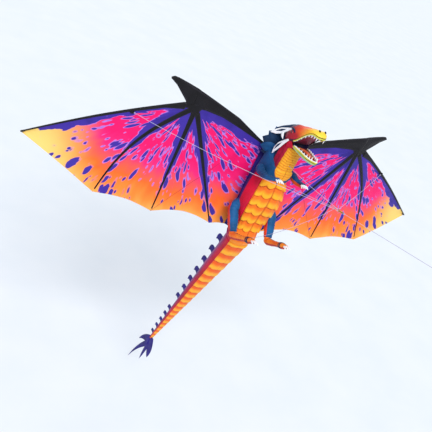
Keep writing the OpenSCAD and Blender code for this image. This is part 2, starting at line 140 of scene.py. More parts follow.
class Paint:
    """A material on a Principled shader, built from small expressions."""

    def __init__(self, name, rough=0.6, metal=0.0, sheen=0.0, coat=0.0, specular=0.35):
        self.mat = bpy.data.materials.new(name)
        self.mat.use_nodes = True
        self.tree = self.mat.node_tree
        self.shader = self.tree.nodes["Principled BSDF"]
        for key, value in (
            ("Roughness", rough),
            ("Metallic", metal),
            ("Sheen Weight", sheen),
            ("Coat Weight", coat),
            ("Specular IOR Level", specular),
        ):
            self.shader.inputs[key].default_value = value

    def node(self, kind, inputs=(), **settings):
        made = self.tree.nodes.new(kind)
        for key, value in settings.items():
            setattr(made, key, value)
        for key, value in dict(inputs).items():
            self.feed(made.inputs[key], value)
        return made

    def feed(self, socket, value):
        if isinstance(value, Num):
            self.tree.links.new(value.socket, socket)
        elif isinstance(value, bpy.types.NodeSocket):
            self.tree.links.new(value, socket)
        else:
            socket.default_value = value

    def math(self, name, *args):
        made = self.node("ShaderNodeMath", operation=name)
        for i, value in enumerate(args):
            self.feed(made.inputs[i], value)
        return Num(self, made.outputs[0])

    def attribute(self, name):
        made = self.node("ShaderNodeAttribute", attribute_name=name)
        return Num(self, made.outputs["Fac"])

    def rest(self):
        """Where a point lies at rest, in metres."""
        return self.node("ShaderNodeAttribute", attribute_name="rest").outputs["Vector"]

    def spot(self):
        """Where a point of a CAD node lies, in metres."""
        return self.node("ShaderNodeTexCoord").outputs["Object"]

    def split(self, vector):
        made = self.node("ShaderNodeSeparateXYZ", {"Vector": vector})
        return [Num(self, s) for s in made.outputs]

    def join(self, x, y):
        return self.node("ShaderNodeCombineXYZ", {"X": x, "Y": y}).outputs[0]

    def noise(self, vector, scale, detail=2.0, rough=0.5):
        made = self.node(
            "ShaderNodeTexNoise",
            {"Vector": vector, "Scale": scale, "Detail": detail, "Roughness": rough},
        )
        return Num(self, made.outputs["Fac"])

    def cells(self, vector, scale, random=1.0):
        made = self.node(
            "ShaderNodeTexVoronoi", {"Vector": vector, "Scale": scale, "Randomness": random}
        )
        tint = self.split(made.outputs["Color"])[0]
        return Num(self, made.outputs["Distance"]), tint

    def ramp(self, value, stops):
        """Colours at values from 0 to 1."""
        made = self.node("ShaderNodeValToRGB", {"Fac": value})
        elements = made.color_ramp.elements
        while len(elements) < len(stops):
            elements.new(0.5)
        for element, (at, code) in zip(elements, stops):
            element.position = at
            element.color = linear(code)
        return made.outputs["Color"]

    def shades(self, value, light, dark):
        """Dark where value is low, light where it is high."""
        return self.ramp(value, [(0.3, dark), (0.7, light)])

    def mix(self, share, a, b):
        made = self.node("ShaderNodeMix", data_type="RGBA")
        self.feed(made.inputs["Factor"], share)
        for key, value in (("A", a), ("B", b)):
            socket = [s for s in made.inputs if s.name == key and s.type == "RGBA"][0]
            self.feed(socket, linear(value) if isinstance(value, str) else value)
        return [s for s in made.outputs if s.type == "RGBA"][0]

    def step(self, value, low, high):
        """0 below low, 1 above high, smooth between."""
        made = self.node(
            "ShaderNodeMapRange",
            {"Value": value, "From Min": low, "From Max": high},
            interpolation_type="SMOOTHSTEP",
        )
        return Num(self, made.outputs["Result"])

    def inside(self, value, soft=0.0008):
        """1 where value is above 0."""
        return self.step(value, -soft, soft)

    def most(self, *values):
        top = values[0]
        for value in values[1:]:
            top = self.math("MAXIMUM", top, value)
        return top

    def finish(self, colour, height=None, strength=0.3, distance=0.001):
        self.feed(self.shader.inputs["Base Color"], linear(colour) if isinstance(colour, str) else colour)
        if height is not None:
            bump = self.node(
                "ShaderNodeBump", {"Height": height, "Strength": strength, "Distance": distance}
            )
            self.feed(self.shader.inputs["Normal"], bump.outputs[0])
        return self.mat

    def weave(self, vector, grid=0.006):
        """Height of a woven cloth with a ripstop grid: threads, thicker grid threads and slack."""
        x, y, z = self.split(vector)
        threads = self.noise(vector, 1 / THREAD_PITCH, 1.0)
        lines = []
        for along in (x + y * 0.6, z + y * 0.3):
            wave = self.math("FRACT", along / grid)
            lines.append(self.step(abs(wave - 0.5), 0.43, 0.5))
        slack = self.noise(vector, 22.0, 2.0)
        return threads * 0.25 + self.most(*lines) * 0.55 + slack * 2.2


# ---------------------------------------------------------------- wing print
KNUCKLE = (0.405, 0.048)
RAYS = (
    (math.radians(30.6), 0.513, 0.038, 0.66), (0.0, 0.485, 0.0, 0.76), (math.radians(-29.3), 0.56, 0.0, 0.93)
)
INDIGO, DEEP, LILAC = "#3d2a9c", "#2a1c7c", "#b07ade"


def wing_print():
    p = Paint("sail_print", rough=0.5, sheen=0.04, specular=0.22)
    place = p.rest()
    x, _, z = p.split(place)
    a = abs(x)
    dx, dz = a - KNUCKLE[0], z - KNUCKLE[1]
    r = p.math("SQRT", dx * dx + dz * dz)
    turn = p.math("ARCTAN2", dx, -dz)
    flame = p.noise(p.join(turn * 15.0, r * 9.0), 1.0, 1.0, 0.5) - 0.5
    fine = p.noise(p.join(turn * 34.0, r * 26.0), 1.0, 1.0) - 0.5
    wide = p.noise(place, 9.0, 2.0) - 0.5
    # height over the trailing edge sets the ground colour
    edge = z + 0.437 - p.math("MAXIMUM", a - 0.408, 0.0) * 0.125 - p.math("MAXIMUM", a - 0.663, 0.0) * 0.34
    heat = (edge + wide * 0.07 + flame * 0.06) / 0.32
    ground = p.ramp(
        heat,
        [
            (0.0, "#ffa850"),
            (0.14, "#ff8a34"),
            (0.32, "#ff6a26"),
            (0.50, "#fb5058"),
            (0.64, "#f52378"),
            (0.80, "#f00a6a"),
        ],
    )
    tip = p.step(a + wide * 0.06 - z * 0.1, 0.70, 0.93)
    ground = p.mix(tip, ground, "#f2cf74")
    # indigo that runs down the rays and along the leading edges
    fields = []
    for angle, reach, bow, inked in RAYS:
        t = p.math("MINIMUM", r / reach, 1.0)
        across = r * p.math("SINE", turn - angle) - p.math("SINE", t * math.pi) * bow
        ahead = p.math("COSINE", turn - angle)
        run = t / inked
        width = (1.0 - run * run) * 0.025 + 0.001 + flame * 0.034 * (1.15 - t) + fine * 0.007
        fields.append(width - abs(across) - p.math("MAXIMUM", 0.2 - ahead, 0.0))
    fields.append(0.100 - r + flame * 0.16)
    out = p.math("MAXIMUM", a - 0.444, 0.0) / 0.522
    below = (0.048 - out * 0.308 - z) * 0.86
    band = 0.019 - out * 0.009 + flame * 0.07 + fine * 0.034
    fields.append(band - below - p.math("MAXIMUM", 0.42 - a, 0.0) * 3.0)
    under = (a - 0.046) * 0.235 - 0.042 - z
    band = 0.021 + (a - 0.2) * 0.03 + flame * 0.06 + fine * 0.018
    fields.append(band - under - p.math("MAXIMUM", a - 0.44, 0.0) * 3.0)
    # drops and longer runs that point away from the knuckle
    for pitch, length, shift, least, spread, reach in (
        (14.0, 10.5, 0.0, 0.20, 0.14, 9.0),
        (13.0, 9.5, 2.9, 0.18, 0.15, 9.0),
        (6.0, 4.5, 8.1, 0.02, 0.24, 0.36),
        (22.0, 22.0, 5.3, 0.02, 0.26, 9.0),
    ):
        bend = wide * 1.4 + shift
        spot, chance = p.cells(p.join(turn * pitch + bend, r * length + shift + fine * 0.35), 1.0, 0.9)
        size = chance * spread + least + fine * 0.16
        size = size - p.step(r, reach, reach + 0.08) - p.step(r, 0.46, 0.62) * 0.10
        fields.append((size - spot) * (0.50 / pitch))
    ink = p.most(*fields)
    # small rings in the pink
    ring, odd = p.cells(p.join(x, z), 21.0, 1.0)
    ringed = 0.055 - abs(ring - 0.17) - p.step(odd, 0.62, 0.45) - p.step(heat, 0.7, 0.5)
    colour = p.mix(p.inside(ringed, 0.02) * 0.8, ground, LILAC)
    outline = p.step(heat, 0.1, 0.5) * (1.0 - tip) * 0.85 + 0.1
    colour = p.mix(p.inside(ink + 0.0022) * outline, colour, LILAC)
    body = p.mix(p.step(ink, 0.002, 0.02), INDIGO, p.mix(p.step(wide, -0.1, 0.2), INDIGO, DEEP))
    colour = p.mix(p.inside(ink), colour, body)
    # painted shadow of the strut behind the sail: a faint dark line, as if seen through the cloth
    away = abs((a - 0.092) * -0.8005 - (z + 0.014) * 0.5994)
    strut_shadow = p.step(away, 0.0030, 0.0012) * p.step(z, -0.13, -0.2) * 0.4
    colour = p.mix(strut_shadow, colour, "#7a2a30")
    return p.finish(colour, p.weave(place), 0.35, 0.0012)


def plain_cloth(name, light, dark, rough=0.6, grid=0.006):
    p = Paint(name, rough=rough, sheen=0.04, specular=0.22)
    place = p.rest()
    shade = p.noise(place, 14.0, 3.0, 0.6)
    return p.finish(p.shades(shade, light, dark), p.weave(place, grid), 0.4, 0.0012)


def sleeve_cloth():
    """Black woven reinforcement with a line of stitches near its edge."""
    p = Paint("black_dacron", rough=0.6, sheen=0.08, specular=0.2)
    place = p.rest()
    across, along = p.attribute("across"), p.attribute("along")
    dash = p.step(abs(p.math("FRACT", along / 0.005) - 0.5), 0.1, 0.2)
    row = p.step(abs(across - 0.9), 0.05, 0.02) + p.step(abs(across - 0.08), 0.05, 0.02)
    shade = p.noise(place, 18.0, 3.0)
    colour = p.mix(row * dash * 0.5, p.shades(shade, "#16141b", "#0c0b10"), "#34313c")
    return p.finish(colour, p.weave(place, 0.0045) - row * 0.8, 0.4, 0.0012)


def scales(name, low, high, shadow, side, back, back_from=(1.72, 1.78)):
    """Printed scale rows in front, side strips and the back.

    The attributes row_part, girth and tone say where on the skin a point lies.
    """
    p = Paint(name, rough=0.5, sheen=0.04, specular=0.25)
    place = p.rest()
    part, girth, tone = p.attribute("row_part"), p.attribute("girth"), p.attribute("tone")
    mottle = p.noise(place, 30.0, 3.0, 0.6) - 0.5
    value = part + mottle * 0.22
    # the shadow colour at the top of each row is painted shadow under the loose lower edge of the row above;
    # the seam line is drawn in the same colour
    front = p.ramp(value, [(0.0, shadow), (0.10, low), (0.30, low), (0.66, high), (0.90, high), (1.0, low)])
    front = p.mix(tone, front, low)
    seam = p.step(abs(girth), 0.035, 0.01) * 0.55
    front = p.mix(seam, front, shadow)
    patches = p.noise(place, 16.0, 2.0)
    colour = p.mix(p.step(abs(girth), 0.985, 1.015), front, p.shades(patches, *side))
    colour = p.mix(p.step(abs(girth), *back_from), colour, p.shades(patches, *back))
    return p.finish(colour, p.weave(place, 0.005) + p.noise(place, 70.0, 2.0) * 1.2, 0.45, 0.0015)


def metal(name, colour, rough):
    p = Paint(name, rough=rough, metal=1.0)
    spot = p.spot()
    shade = p.noise(spot, 900.0, 2.0)
    height = p.noise(spot, 2600.0, 1.0)
    return p.finish(p.mix(shade * 0.35, colour, "#3a3630"), height, 0.15, 0.0002)


def rod_skin(name, dark, light, rough):
    """Drawn rod or moulded vinyl: fine lines along it."""
    p = Paint(name, rough=rough, specular=0.5)
    spot = p.spot()
    shade = p.noise(spot, 120.0, 2.0)
    return p.finish(p.shades(shade, light, dark), p.noise(spot, 700.0, 1.0), 0.2, 0.0004)


def line_skin():
    """Braided line."""
    p = Paint("braid", rough=0.5, sheen=0.2)
    x, y, z = p.split(p.spot())
    twist = p.math("FRACT", (x + y * 1.3 + z * 0.7) / 0.0022)
    colour = p.ramp(twist, [(0.0, "#a8a2c4"), (0.5, "#cfcae2"), (0.9, "#938db4")])
    return p.finish(colour, twist, 0.4, 0.0004)


SAIL = wing_print()
BLACK = sleeve_cloth()
INDIGO_CLOTH = plain_cloth("indigo_cloth", "#22128a", "#140a5c")
NAVY = plain_cloth("navy_cloth", "#093258", "#051b38")
TEAL = plain_cloth("teal_cloth", "#0c558e", "#083a68")
CRIMSON = plain_cloth("crimson_cloth", "#e20a3c", "#b5052c")
WHITE = plain_cloth("white_cloth", "#ffffff", "#dfe2ea", rough=0.5, grid=0.02)
LINE = line_skin()
BELLY = scales("belly_print", "#f2761a", "#fdb324", "#b8380c", ("#e20a3c", "#b5052c"), ("#2a1f7c", "#1a1256"))
TAIL = scales(
    "tail_print", "#f0601a", "#fdb02a", "#c8340f", ("#cc0a32", "#a00428"), ("#a2106c", "#5c1070"),
    (1.25, 1.85),
)
NECK = scales("neck_print", "#f2921a", "#fcb428", "#a8480e", ("#c00c38", "#8c0a2c"), ("#0b2f58", "#071e3c"))
STEEL = metal("steel", "#c9ccd2", 0.25)
BRASS = metal("brass", "#d9a441", 0.28)
RUBBER = rod_skin("vinyl", "#0e0d10", "#1d1b20", 0.5)
ROD = rod_skin("rod", "#15151a", "#24242c", 0.35)


# ---------------------------------------------------------------- mesh building
def clamp(x, low=0.0, high=1.0):
    return np.clip(x, low, high)


def smooth(x, low, high):
    t = clamp((np.asarray(x, float) - low) / (high - low))
    return t * t * (3 - 2 * t)


def along(table, x):
    """Smooth curve through a table of [x, y...] at x."""
    t = np.array(sorted(table), float)
    xs, ys = t[:, 0], t[:, 1:]
    slope = np.gradient(ys, xs, axis=0) if len(xs) > 2 else np.diff(ys, axis=0).repeat(2, 0) / np.diff(xs)[0]
    x = np.clip(np.asarray(x, float), xs[0], xs[-1])
    i = np.clip(np.searchsorted(xs, x, side="right") - 1, 0, len(xs) - 2)
    h = xs[i + 1] - xs[i]
    u = ((x - xs[i]) / h)[..., None]
    h = h[..., None]
    a, b, da, db = ys[i], ys[i + 1], slope[i], slope[i + 1]
    made = (
        a * (1 + 2 * u) * (1 - u) ** 2
        + da * h * u * (1 - u) ** 2
        + b * u * u * (3 - 2 * u)
        + db * h * u * u * (u - 1)
    )
    return made[..., 0] if made.shape[-1] == 1 else made


def build(name, points, faces, material, facts=None):
    """Mesh object with its rest places and other facts stored at its points."""
    points = np.asarray(points, float).reshape(-1, 3)
    mesh = bpy.data.meshes.new(name)
    mesh.from_pydata(points.tolist(), [], faces)
    attribute = mesh.attributes.new("rest", "FLOAT_VECTOR", "POINT")
    attribute.data.foreach_set("vector", points.astype(np.float32).ravel())
    for key, values in (facts or {}).items():
        attribute = mesh.attributes.new(key, "FLOAT", "POINT")
        attribute.data.foreach_set("value", np.asarray(values, np.float32).ravel())
    bm = bmesh.new()
    bm.from_mesh(mesh)
    bmesh.ops.recalc_face_normals(bm, faces=bm.faces)
    bm.to_mesh(mesh)
    bm.free()
    mesh.shade_smooth()
    mesh.materials.append(material)
    made = bpy.data.objects.new(name, mesh)
    bpy.context.scene.collection.objects.link(made)
    return made


def spread(shape, facts):
    """Facts given for a whole grid, a row, a column or one number, as one value for each point."""
    return {k: np.broadcast_to(np.asarray(v, float), shape).ravel() for k, v in (facts or {}).items()}


def grid_faces(rows, cols, first=0, wrap=False):
    faces = []
    for r in range(rows - 1):
        low, high = first + r * cols, first + (r + 1) * cols
        for c in range(cols if wrap else cols - 1):
            ahead = (c + 1) % cols
            faces.append((low + c, low + ahead, high + ahead, high + c))
    return faces


def loft_data(rings, first=0):
    """Points and faces of a closed solid through rings."""
    rings = np.asarray(rings, float)
    rows, cols = rings.shape[:2]
    faces = grid_faces(rows, cols, first, True)
    n = rows * cols
    faces += [(first + n, first + (c + 1) % cols, first + c) for c in range(cols)]
    last = first + (rows - 1) * cols
    faces += [(first + n + 1, last + c, last + (c + 1) % cols) for c in range(cols)]
    ends = [rings[0].mean(0), rings[-1].mean(0)]
    return np.concatenate([rings.reshape(-1, 3), ends]), faces


def loft(name, rings, material, facts=None):
    points, faces = loft_data(rings)
    facts = spread(np.shape(rings)[:2], facts)
    return build(name, points, faces, material, {k: np.append(v, [v[0], v[-1]]) for k, v in facts.items()})


def gather(name, parts, material):
    """One object from several closed solids."""
    points, faces = [], []
    count = 0
    for rings in parts:
        p, f = loft_data(rings, count)
        points.append(p)
        faces += f
        count += len(p)
    return build(name, np.concatenate(points), faces, material)


def thick(name, front, back, material, facts=None):
    """Closed sheet between two grids of points."""
    front, back = np.asarray(front, float), np.asarray(back, float)
    rows, cols = front.shape[:2]
    n = rows * cols
    faces = grid_faces(rows, cols) + grid_faces(rows, cols, n)
    top = list(range(cols))
    right = [r * cols + cols - 1 for r in range(rows)]
    bottom = [(rows - 1) * cols + c for c in range(cols)]
    left = [r * cols for r in range(rows)]
    for edge in (top, right, bottom, left):
        faces += [(a, b, b + n, a + n) for a, b in zip(edge, edge[1:])]
    facts = {k: np.tile(v, 2) for k, v in spread((rows, cols), facts).items()}
    return build(name, np.concatenate([front.reshape(-1, 3), back.reshape(-1, 3)]), faces, material, facts)


def slab(name, x, y, z, near, far, side, material, facts=None):
    """Closed sheet from near mm in front of y to far mm behind it, on one side of the kite."""
    sheets = [np.stack([x * side, y + away, z], -1) / 1000 for away in (-near, far)]
    return thick(name, *sheets, material, facts)


def sew(made, body, node=None):
    """Put a piece on a body, if one is given, and in the place of a CAD node, which is then hidden."""
    if body:
        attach(made, body)
    if node:
        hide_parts(node)


def frames_on(route):
    """Direction and two cross directions at each point of a route."""
    route = np.asarray(route, float)
    ahead = np.gradient(route, axis=0)
    ahead /= np.linalg.norm(ahead, axis=1)[:, None]
    up = np.array([0.13, 0.2, 0.97]) if abs(ahead[:, 2]).max() < 0.9 else np.array([1.0, 0.1, 0.05])
    side = np.cross(ahead, up)
    side /= np.linalg.norm(side, axis=1)[:, None]
    return ahead, side, np.cross(side, ahead)


def tube_rings(route, radii, sides=10, flat=1.0):
    """Rings round a route. flat squeezes them along the second cross direction."""
    route = np.asarray(route, float)
    _, side, rise = frames_on(route)
    angle = np.arange(sides) * 2 * math.pi / sides
    radii = np.broadcast_to(np.asarray(radii, float), (len(route),))
    flat = np.broadcast_to(np.asarray(flat, float), (len(route),))
    return route[:, None] + radii[:, None, None] * (
        np.cos(angle)[None, :, None] * side[:, None] + (
            flat[:, None] * np.sin(angle)[None, :]
        )[..., None] * rise[:, None]
    )


def resample(points, count):
    """Smooth route through points, evenly by their own spacing."""
    points = np.asarray(points, float)
    at = np.concatenate([[0], np.cumsum(np.linalg.norm(np.diff(points, axis=0), axis=1))])
    table = [[s, *p] for s, p in zip(at, points)]
    return along(table, np.linspace(0, at[-1], count))


def mirrored(points, side):
    points = np.asarray(points, float).copy()
    points[..., 0] *= side
    return points


def mm(points):
    return np.asarray(points, float) / 1000


# ---------------------------------------------------------------- lines
LINE_D = 0.0016
KNOT_SIZE, END_KNOT_SIZE, KNOT_TURNS = 0.0022, 0.0026, 2.25
LINE_WAY = np.array([0, -0.97, 0.243])
SIDE_LEG = mm(
    [
        [9, 5, -1], [115, 103, -20], [235, 208, -35], [350, 310, -46], [480, 425, -52], [560, 496, -54],
        [610, 540, -53],
    ]
)
NECK_LEG = mm([[3, 9.5, 0], [2, 90, -11], [1, 180, -23], [0, 270, -33], [0, 368, -41]])
CHEST_LEG = mm([[0, 10, 0], [0, 100, -31], [0, 200, -65], [0, 300, -99], [0, 391, -129]])
BELLY_LEG = mm(
    [[-3, 9.5, -1], [-2, 60, -70], [-1, 140, -165], [0, 220, -255], [0, 310, -345], [0, 403, -429]]
)


def knot(name, place, size, body):
    """Small overhand knot: a lumpy ball of line."""
    angle = np.linspace(0, 1, 46) * KNOT_TURNS * 2 * math.pi
    tilt = np.sin(angle * 1.5)
    route = np.array(place) + size * np.stack(
        [np.cos(angle) * (0.9 + 0.2 * tilt), np.sin(angle) * (0.9 - 0.2 * tilt), tilt * 0.8], 1
    )
    made = loft(name, tube_rings(route, LINE_D / 2, 6), LINE)
    sew(made, body)
    return made


def curve_line(name, points, body):
    data = bpy.data.curves.new(name, "CURVE")
    data.dimensions, data.bevel_depth, data.bevel_resolution = "3D", LINE_D / 2, 2
    data.use_fill_caps = True
    spline = data.splines.new("POLY")
    spline.points.add(len(points) - 1)
    for point, place in zip(spline.points, points):
        point.co = (*place, 1)
    data.materials.append(LINE)
    made = bpy.data.objects.new(name, data)
    bpy.context.scene.collection.objects.link(made)
    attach(made, body)
    return made


def bridle(name, route, node, bends):
    """One bridle leg from where it is sewn on, at the route's end, to the tow ring."""
    points = resample(route[::-1], 24)
    if bends:
        made = loft(name, tube_rings(points, LINE_D / 2, 8), LINE)
        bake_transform(made)
        path = points.tolist()
    else:
        made = curve_line(name, points, "root")
        path = None
    sew(made, None, node)
    return made, points, path


for label, route, bends in (
    ("left", mirrored(SIDE_LEG, -1), "wing_left"),
    ("right", SIDE_LEG, "wing_right"),
    ("neck", NECK_LEG, "head"),
    ("chest", CHEST_LEG, None),
    ("belly", BELLY_LEG, None),
):
    leg, points, path = bridle(f"line_{label}", route, f"bridle_{label}", bends)
    tie = knot(f"line_knot_{label}", points[0], KNOT_SIZE, bends or "root")

fly_points = resample([LINE_WAY * s for s in (0.0415, 0.15, 0.26, 0.38, 0.505)], 20)
fly = curve_line("flying_line_braid", fly_points, "line")
sew(fly, None, "flying_line")
knot("line_knot_end", fly_points[-1], END_KNOT_SIZE, "line")
knot("line_knot_swivel", fly_points[0], KNOT_SIZE, "line")


# ---------------------------------------------------------------- wings
HALF_SPAN, WING_PLANE, TIP_SWEEP, EDGE_BOW, KNUCKLE_X, ROOT_X = 966, 513, 105, 36, 405, 46
OUTER_X = 444  # where the leading edge turns to the outer spar
PATCH_Z = 52
EDGE_POINTS = [[46, -437], [129, -445], [408, -437], [663, -405], [966, -264]]
EDGE_RISE = [4, 28, 18, 6]
INNER_TOP = [[46, -34], [87, -16], [210, 44], [343, 88], [420, 112]]
INNER_BOTTOM = [[46, -42], [89, -28], [191, 4], [279, 29], [365, 39], [420, 30]]
HORN_TOP = [[420, 112], [459, 120], [500, 127], [518, 128], [528, 121]]
HORN_BOTTOM = [[420, 30], [440, 24], [446, 50], [499, 98], [528, 115]]
BATTEN_TIPS = [[661, -400], [407, -433], [131, -441]]
BATTEN_FOOT = np.array([400.0, 42.0])
STRUT = np.array([[92.0, -14.0], [396.0, -420.0]])
BATTEN_BOW = [38, 0, 0]


def line_at(table, x):
    t = np.array(table, float)
    return np.interp(x, t[:, 0], t[:, 1])


def wing_y(x, v=0.0):
    out = np.maximum(0, x - KNUCKLE_X) / (HALF_SPAN - KNUCKLE_X)
    return WING_PLANE + TIP_SWEEP * out - EDGE_BOW * np.sin(math.pi * clamp(out)) * v * v


def leading_t(x):
    return (x - OUTER_X) / (HALF_SPAN - OUTER_X)


def leading_top(x):
    t = leading_t(x)
    return 48 - 308 * t + 13 * np.sin(math.pi * clamp(t))


def sleeve_width(x):
    t = leading_t(x)
    return 15 - 11 * t + 14 * np.maximum(0, 1 - 8 * t)


def sail_top(x):
    return np.where(x < OUTER_X, line_at(INNER_BOTTOM, x), leading_top(x) - sleeve_width(x))


def sail_bottom(x):
    z = np.zeros_like(x)
    for (a, b), rise in zip(zip(EDGE_POINTS, EDGE_POINTS[1:]), EDGE_RISE):
        t = (x - a[0]) / (b[0] - a[0])
        part = a[1] + (b[1] - a[1]) * t + rise * np.sin(math.pi * clamp(t))
        z = np.where((x >= a[0]) & (x <= b[0]), part, z)
    return z


def batten_xz(i, t):
    tip = np.array(BATTEN_TIPS[i], float)
    way = tip - BATTEN_FOOT
    out = np.array([-way[1], way[0]]) / np.linalg.norm(way)
    t = np.asarray(t, float)[..., None]
    return BATTEN_FOOT + way * t + out * BATTEN_BOW[i] * np.sin(math.pi * t)


def batten_gap(x, z):
    """Distance to the nearest batten, mm."""
    best = np.full(np.shape(x), 1e9)
    for i in range(3):
        for q in batten_xz(i, np.linspace(0, 1, 60)):
            best = np.minimum(best, np.hypot(x - q[0], z - q[1]))
    return best


def on_sail(x, z):
    v = (sail_top(x) - z) / (sail_top(x) - sail_bottom(x))
    return wing_y(x, clamp(v)), clamp(v)


def billow(x, z, v):
    """How far the cloth stands behind the batten plane, mm."""
    gap = batten_gap(x, z)
    belly = 8.0 * (1 - np.exp(-((gap / 70) ** 2))) * np.sin(math.pi * clamp(v * 0.93)) ** 0.8
    foot, way = STRUT[0], STRUT[1] - STRUT[0]
    away = np.abs((x - foot[0]) * way[1] - (z - foot[1]) * way[0]) / np.linalg.norm(way)
    belly = np.minimum(belly, 2.2 + 0.13 * away)
    ripple = 0.9 * np.sin(x / 17 + z / 31) * np.sin(z / 23 - x / 57) * smooth(gap, 4, 40)
    return belly + ripple * smooth(v, 0, 0.15)


def make_sail(label, side):
    inner, outer = np.linspace(ROOT_X, OUTER_X, 74), np.linspace(OUTER_X, HALF_SPAN - 2, 92)
    xs = np.unique(np.concatenate([inner, outer, [p[0] for p in EDGE_POINTS[1:-1]]]))
    vs = np.concatenate([np.linspace(0, 0.97, 56), [0.985, 0.995, 1.0]])
    x = np.broadcast_to(xs, (len(vs), len(xs)))
    v = np.broadcast_to(vs[:, None], x.shape)
    z = sail_top(x) * (1 - v) + sail_bottom(x) * v
    y = wing_y(x, v) + billow(x, z, v)
    half = np.where(v > 0.982, 0.9, 0.4)
    made = slab(f"sail_cloth_{label}", x, y, z, half, half, side, SAIL)
    sew(made, f"wing_{label}", f"sail_{label}")
    area = float(np.trapz(sail_top(xs) - sail_bottom(xs), xs)) / 1e6


def make_sleeve(name, label, side, xs, top, bottom, ridge, node, lift=3.0):
    """Flat sleeve with a rounded ridge where the spar runs."""
    sides = 28
    angle = np.arange(sides) * 2 * math.pi / sides
    w = (1 - np.cos(angle)) / 2
    face = np.sign(np.sin(angle)) * np.abs(np.sin(angle)) ** 0.35
    half = 1.0 + lift * np.exp(-(((w - ridge) / 0.3) ** 2))
    x = np.asarray(xs, float)[:, None]
    z = top(x) * (1 - w) + bottom(x) * w
    y = wing_y(x) + face * half + 0 * z
    rings = np.stack([np.broadcast_to(x * side, z.shape), y, z], -1) / 1000
    made = loft(name, rings, BLACK, {"across": w, "along": x / 1000})
    sew(made, f"wing_{label}", node)


def make_pockets(label, side):
    """Tapering black strips that hold the battens, sewn to the front of the sail."""
    for i in range(3):
        t = np.linspace(0.05, 0.985, 60)
        way = batten_xz(i, t + 0.01) - batten_xz(i, t - 0.01)
        out = np.stack([-way[:, 1], way[:, 0]], 1) / np.linalg.norm(way, axis=1)[:, None]
        width = (25 + (5.0 - 25) * t**0.6) / 2
        w = np.linspace(-1, 1, 9)
        place = batten_xz(i, t)[:, None] + out[:, None] * (width[:, None] * w)[..., None]
        x, z = place[..., 0], place[..., 1]
        y, v = on_sail(x, z)
        y = y + billow(x, z, v)
        lift = 1.5 * (1 - w**4)[None, :] + 0.45
        facts = {"across": (w + 1) / 2, "along": t[:, None] * 0.5}
        made = slab(f"batten_pocket_{i + 1}_{label}", x, y, z, 0.4 + lift, -0.3, side, BLACK, facts)
        sew(made, f"wing_{label}", None if i else f"batten_pockets_{label}")


def make_knuckle(label, side):
    """Star-shaped patch where the rays meet, sewn over the sail."""
    angle = np.radians(np.linspace(-78, 64, 60))
    rays = [math.degrees(a) for a, *_ in RAYS]
    spike = sum(np.exp(-(((np.degrees(angle) - a) / 8.0) ** 2)) for a in rays)
    reach = 34 + 30 * spike + 26 * smooth(np.degrees(angle), 48, 62) + 16 * smooth(-np.degrees(angle), 62, 76)
    share = np.linspace(0, 1, 12)
    x = KNUCKLE[0] * 1000 + np.sin(angle)[None, :] * reach * share[:, None]
    z = PATCH_Z - np.cos(angle)[None, :] * reach * share[:, None]
    y, v = on_sail(x, np.minimum(z, sail_top(x)))
    y = y + billow(x, z, v)
    lift = 2.3 - 1.4 * share[:, None] ** 3 + 0 * x
    facts = {"across": share[:, None], "along": angle * 0.06}
    made = slab(f"knuckle_patch_{label}", x, y, z, lift, -0.35, side, BLACK, facts)
    sew(made, f"wing_{label}")


def make_tab(label, side):
    """Webbing loop that holds a side bridle leg."""
    x0, z0 = 618.0, -52.0
    y0 = float(wing_y(x0)) - 5.7
    angle = np.linspace(0, 2 * math.pi, 33)[:-1]
    c, s = (np.sign(w) * np.abs(w) ** 0.7 for w in (np.cos(angle), np.sin(angle)))
    u = np.linspace(-1, 1, 9)[:, None]
    wide, deep = 8.6 - 1.0 * np.abs(u) ** 4, 2.9 - 0.5 * np.abs(u) ** 4
    rings = np.stack([side * (x0 + 6.8 * u) + 0 * s, y0 + deep * c, z0 + wide * s], -1) / 1000
    made = loft(f"webbing_tab_{label}", rings, BLACK, {"across": 0.5, "along": angle / 100})
    sew(made, f"wing_{label}", f"bridle_tab_{label}")


for label, side in SIDES:
    make_sail(label, side)
    make_sleeve(
        f"inner_band_{label}", label, side, np.linspace(46, 419.5, 48),
        lambda x: line_at(INNER_TOP, x), lambda x: line_at(INNER_BOTTOM, x) - 1.5,
        0.3, f"inner_sleeve_{label}",
    )
    make_sleeve(
        f"horn_{label}", label, side, np.concatenate([np.linspace(418, 522, 34), [525, 527.5]]),
        lambda x: line_at(HORN_TOP, x), lambda x: line_at(HORN_BOTTOM, x), 0.4, f"wrist_horn_{label}", 3.4,
    )
    make_sleeve(
        f"outer_band_{label}", label, side, np.linspace(440, 966, 60),
        lambda x: leading_top(np.maximum(x, 446.5)) + 0.6,
        lambda x: leading_top(np.maximum(x, 446.5)) - sleeve_width(np.maximum(x, 446.5)) - 1.5,
        0.5, f"outer_sleeve_{label}", 2.4,
    )
    make_pockets(label, side)
    make_knuckle(label, side)
    make_tab(label, side)

# ---------------------------------------------------------------- body
# Body stations: z, front y, half width, back y
STATIONS = [
    [-126, 392, 60, 508], [-160, 384, 70, 512], [-210, 380, 77, 512], [-260, 384, 78, 512],
    [-310, 395, 73, 511], [-360, 404, 66, 510], [-400, 406, 60, 509], [-432, 402, 55, 508],
]
POWER = 0.8
BELLY_ANGLE, FLANK_ANGLE = 54.0, 108.0
PANEL_TOP, PANEL_HEM = -127, -432
ROUND = 72  # points round the yoke, the cape and the tail


def superellipse(angle):
    """Sine and cosine of a rounded section at an angle in degrees from the front."""
    s, c = np.sin(np.radians(angle)), np.cos(np.radians(angle))
    return np.sign(s) * np.abs(s) ** POWER, np.sign(c) * np.abs(c) ** POWER


def body_at(z, angle, out):
    """Point on the body's skin, out mm proud."""
    st = along(STATIONS, z)
    front, wide, back = st[..., 0], st[..., 1], st[..., 2]
    s, c = superellipse(angle)
    return np.stack([(wide + out) * s, (front + back) / 2 - ((back - front) / 2 + out) * c, z + 0 * s], -1)


def row_profile(part):
    """Height of a scale from its tucked top to its loose lower edge."""
    return clamp(part) ** 0.55 * (1 - smooth(part, 0.93, 1.0))


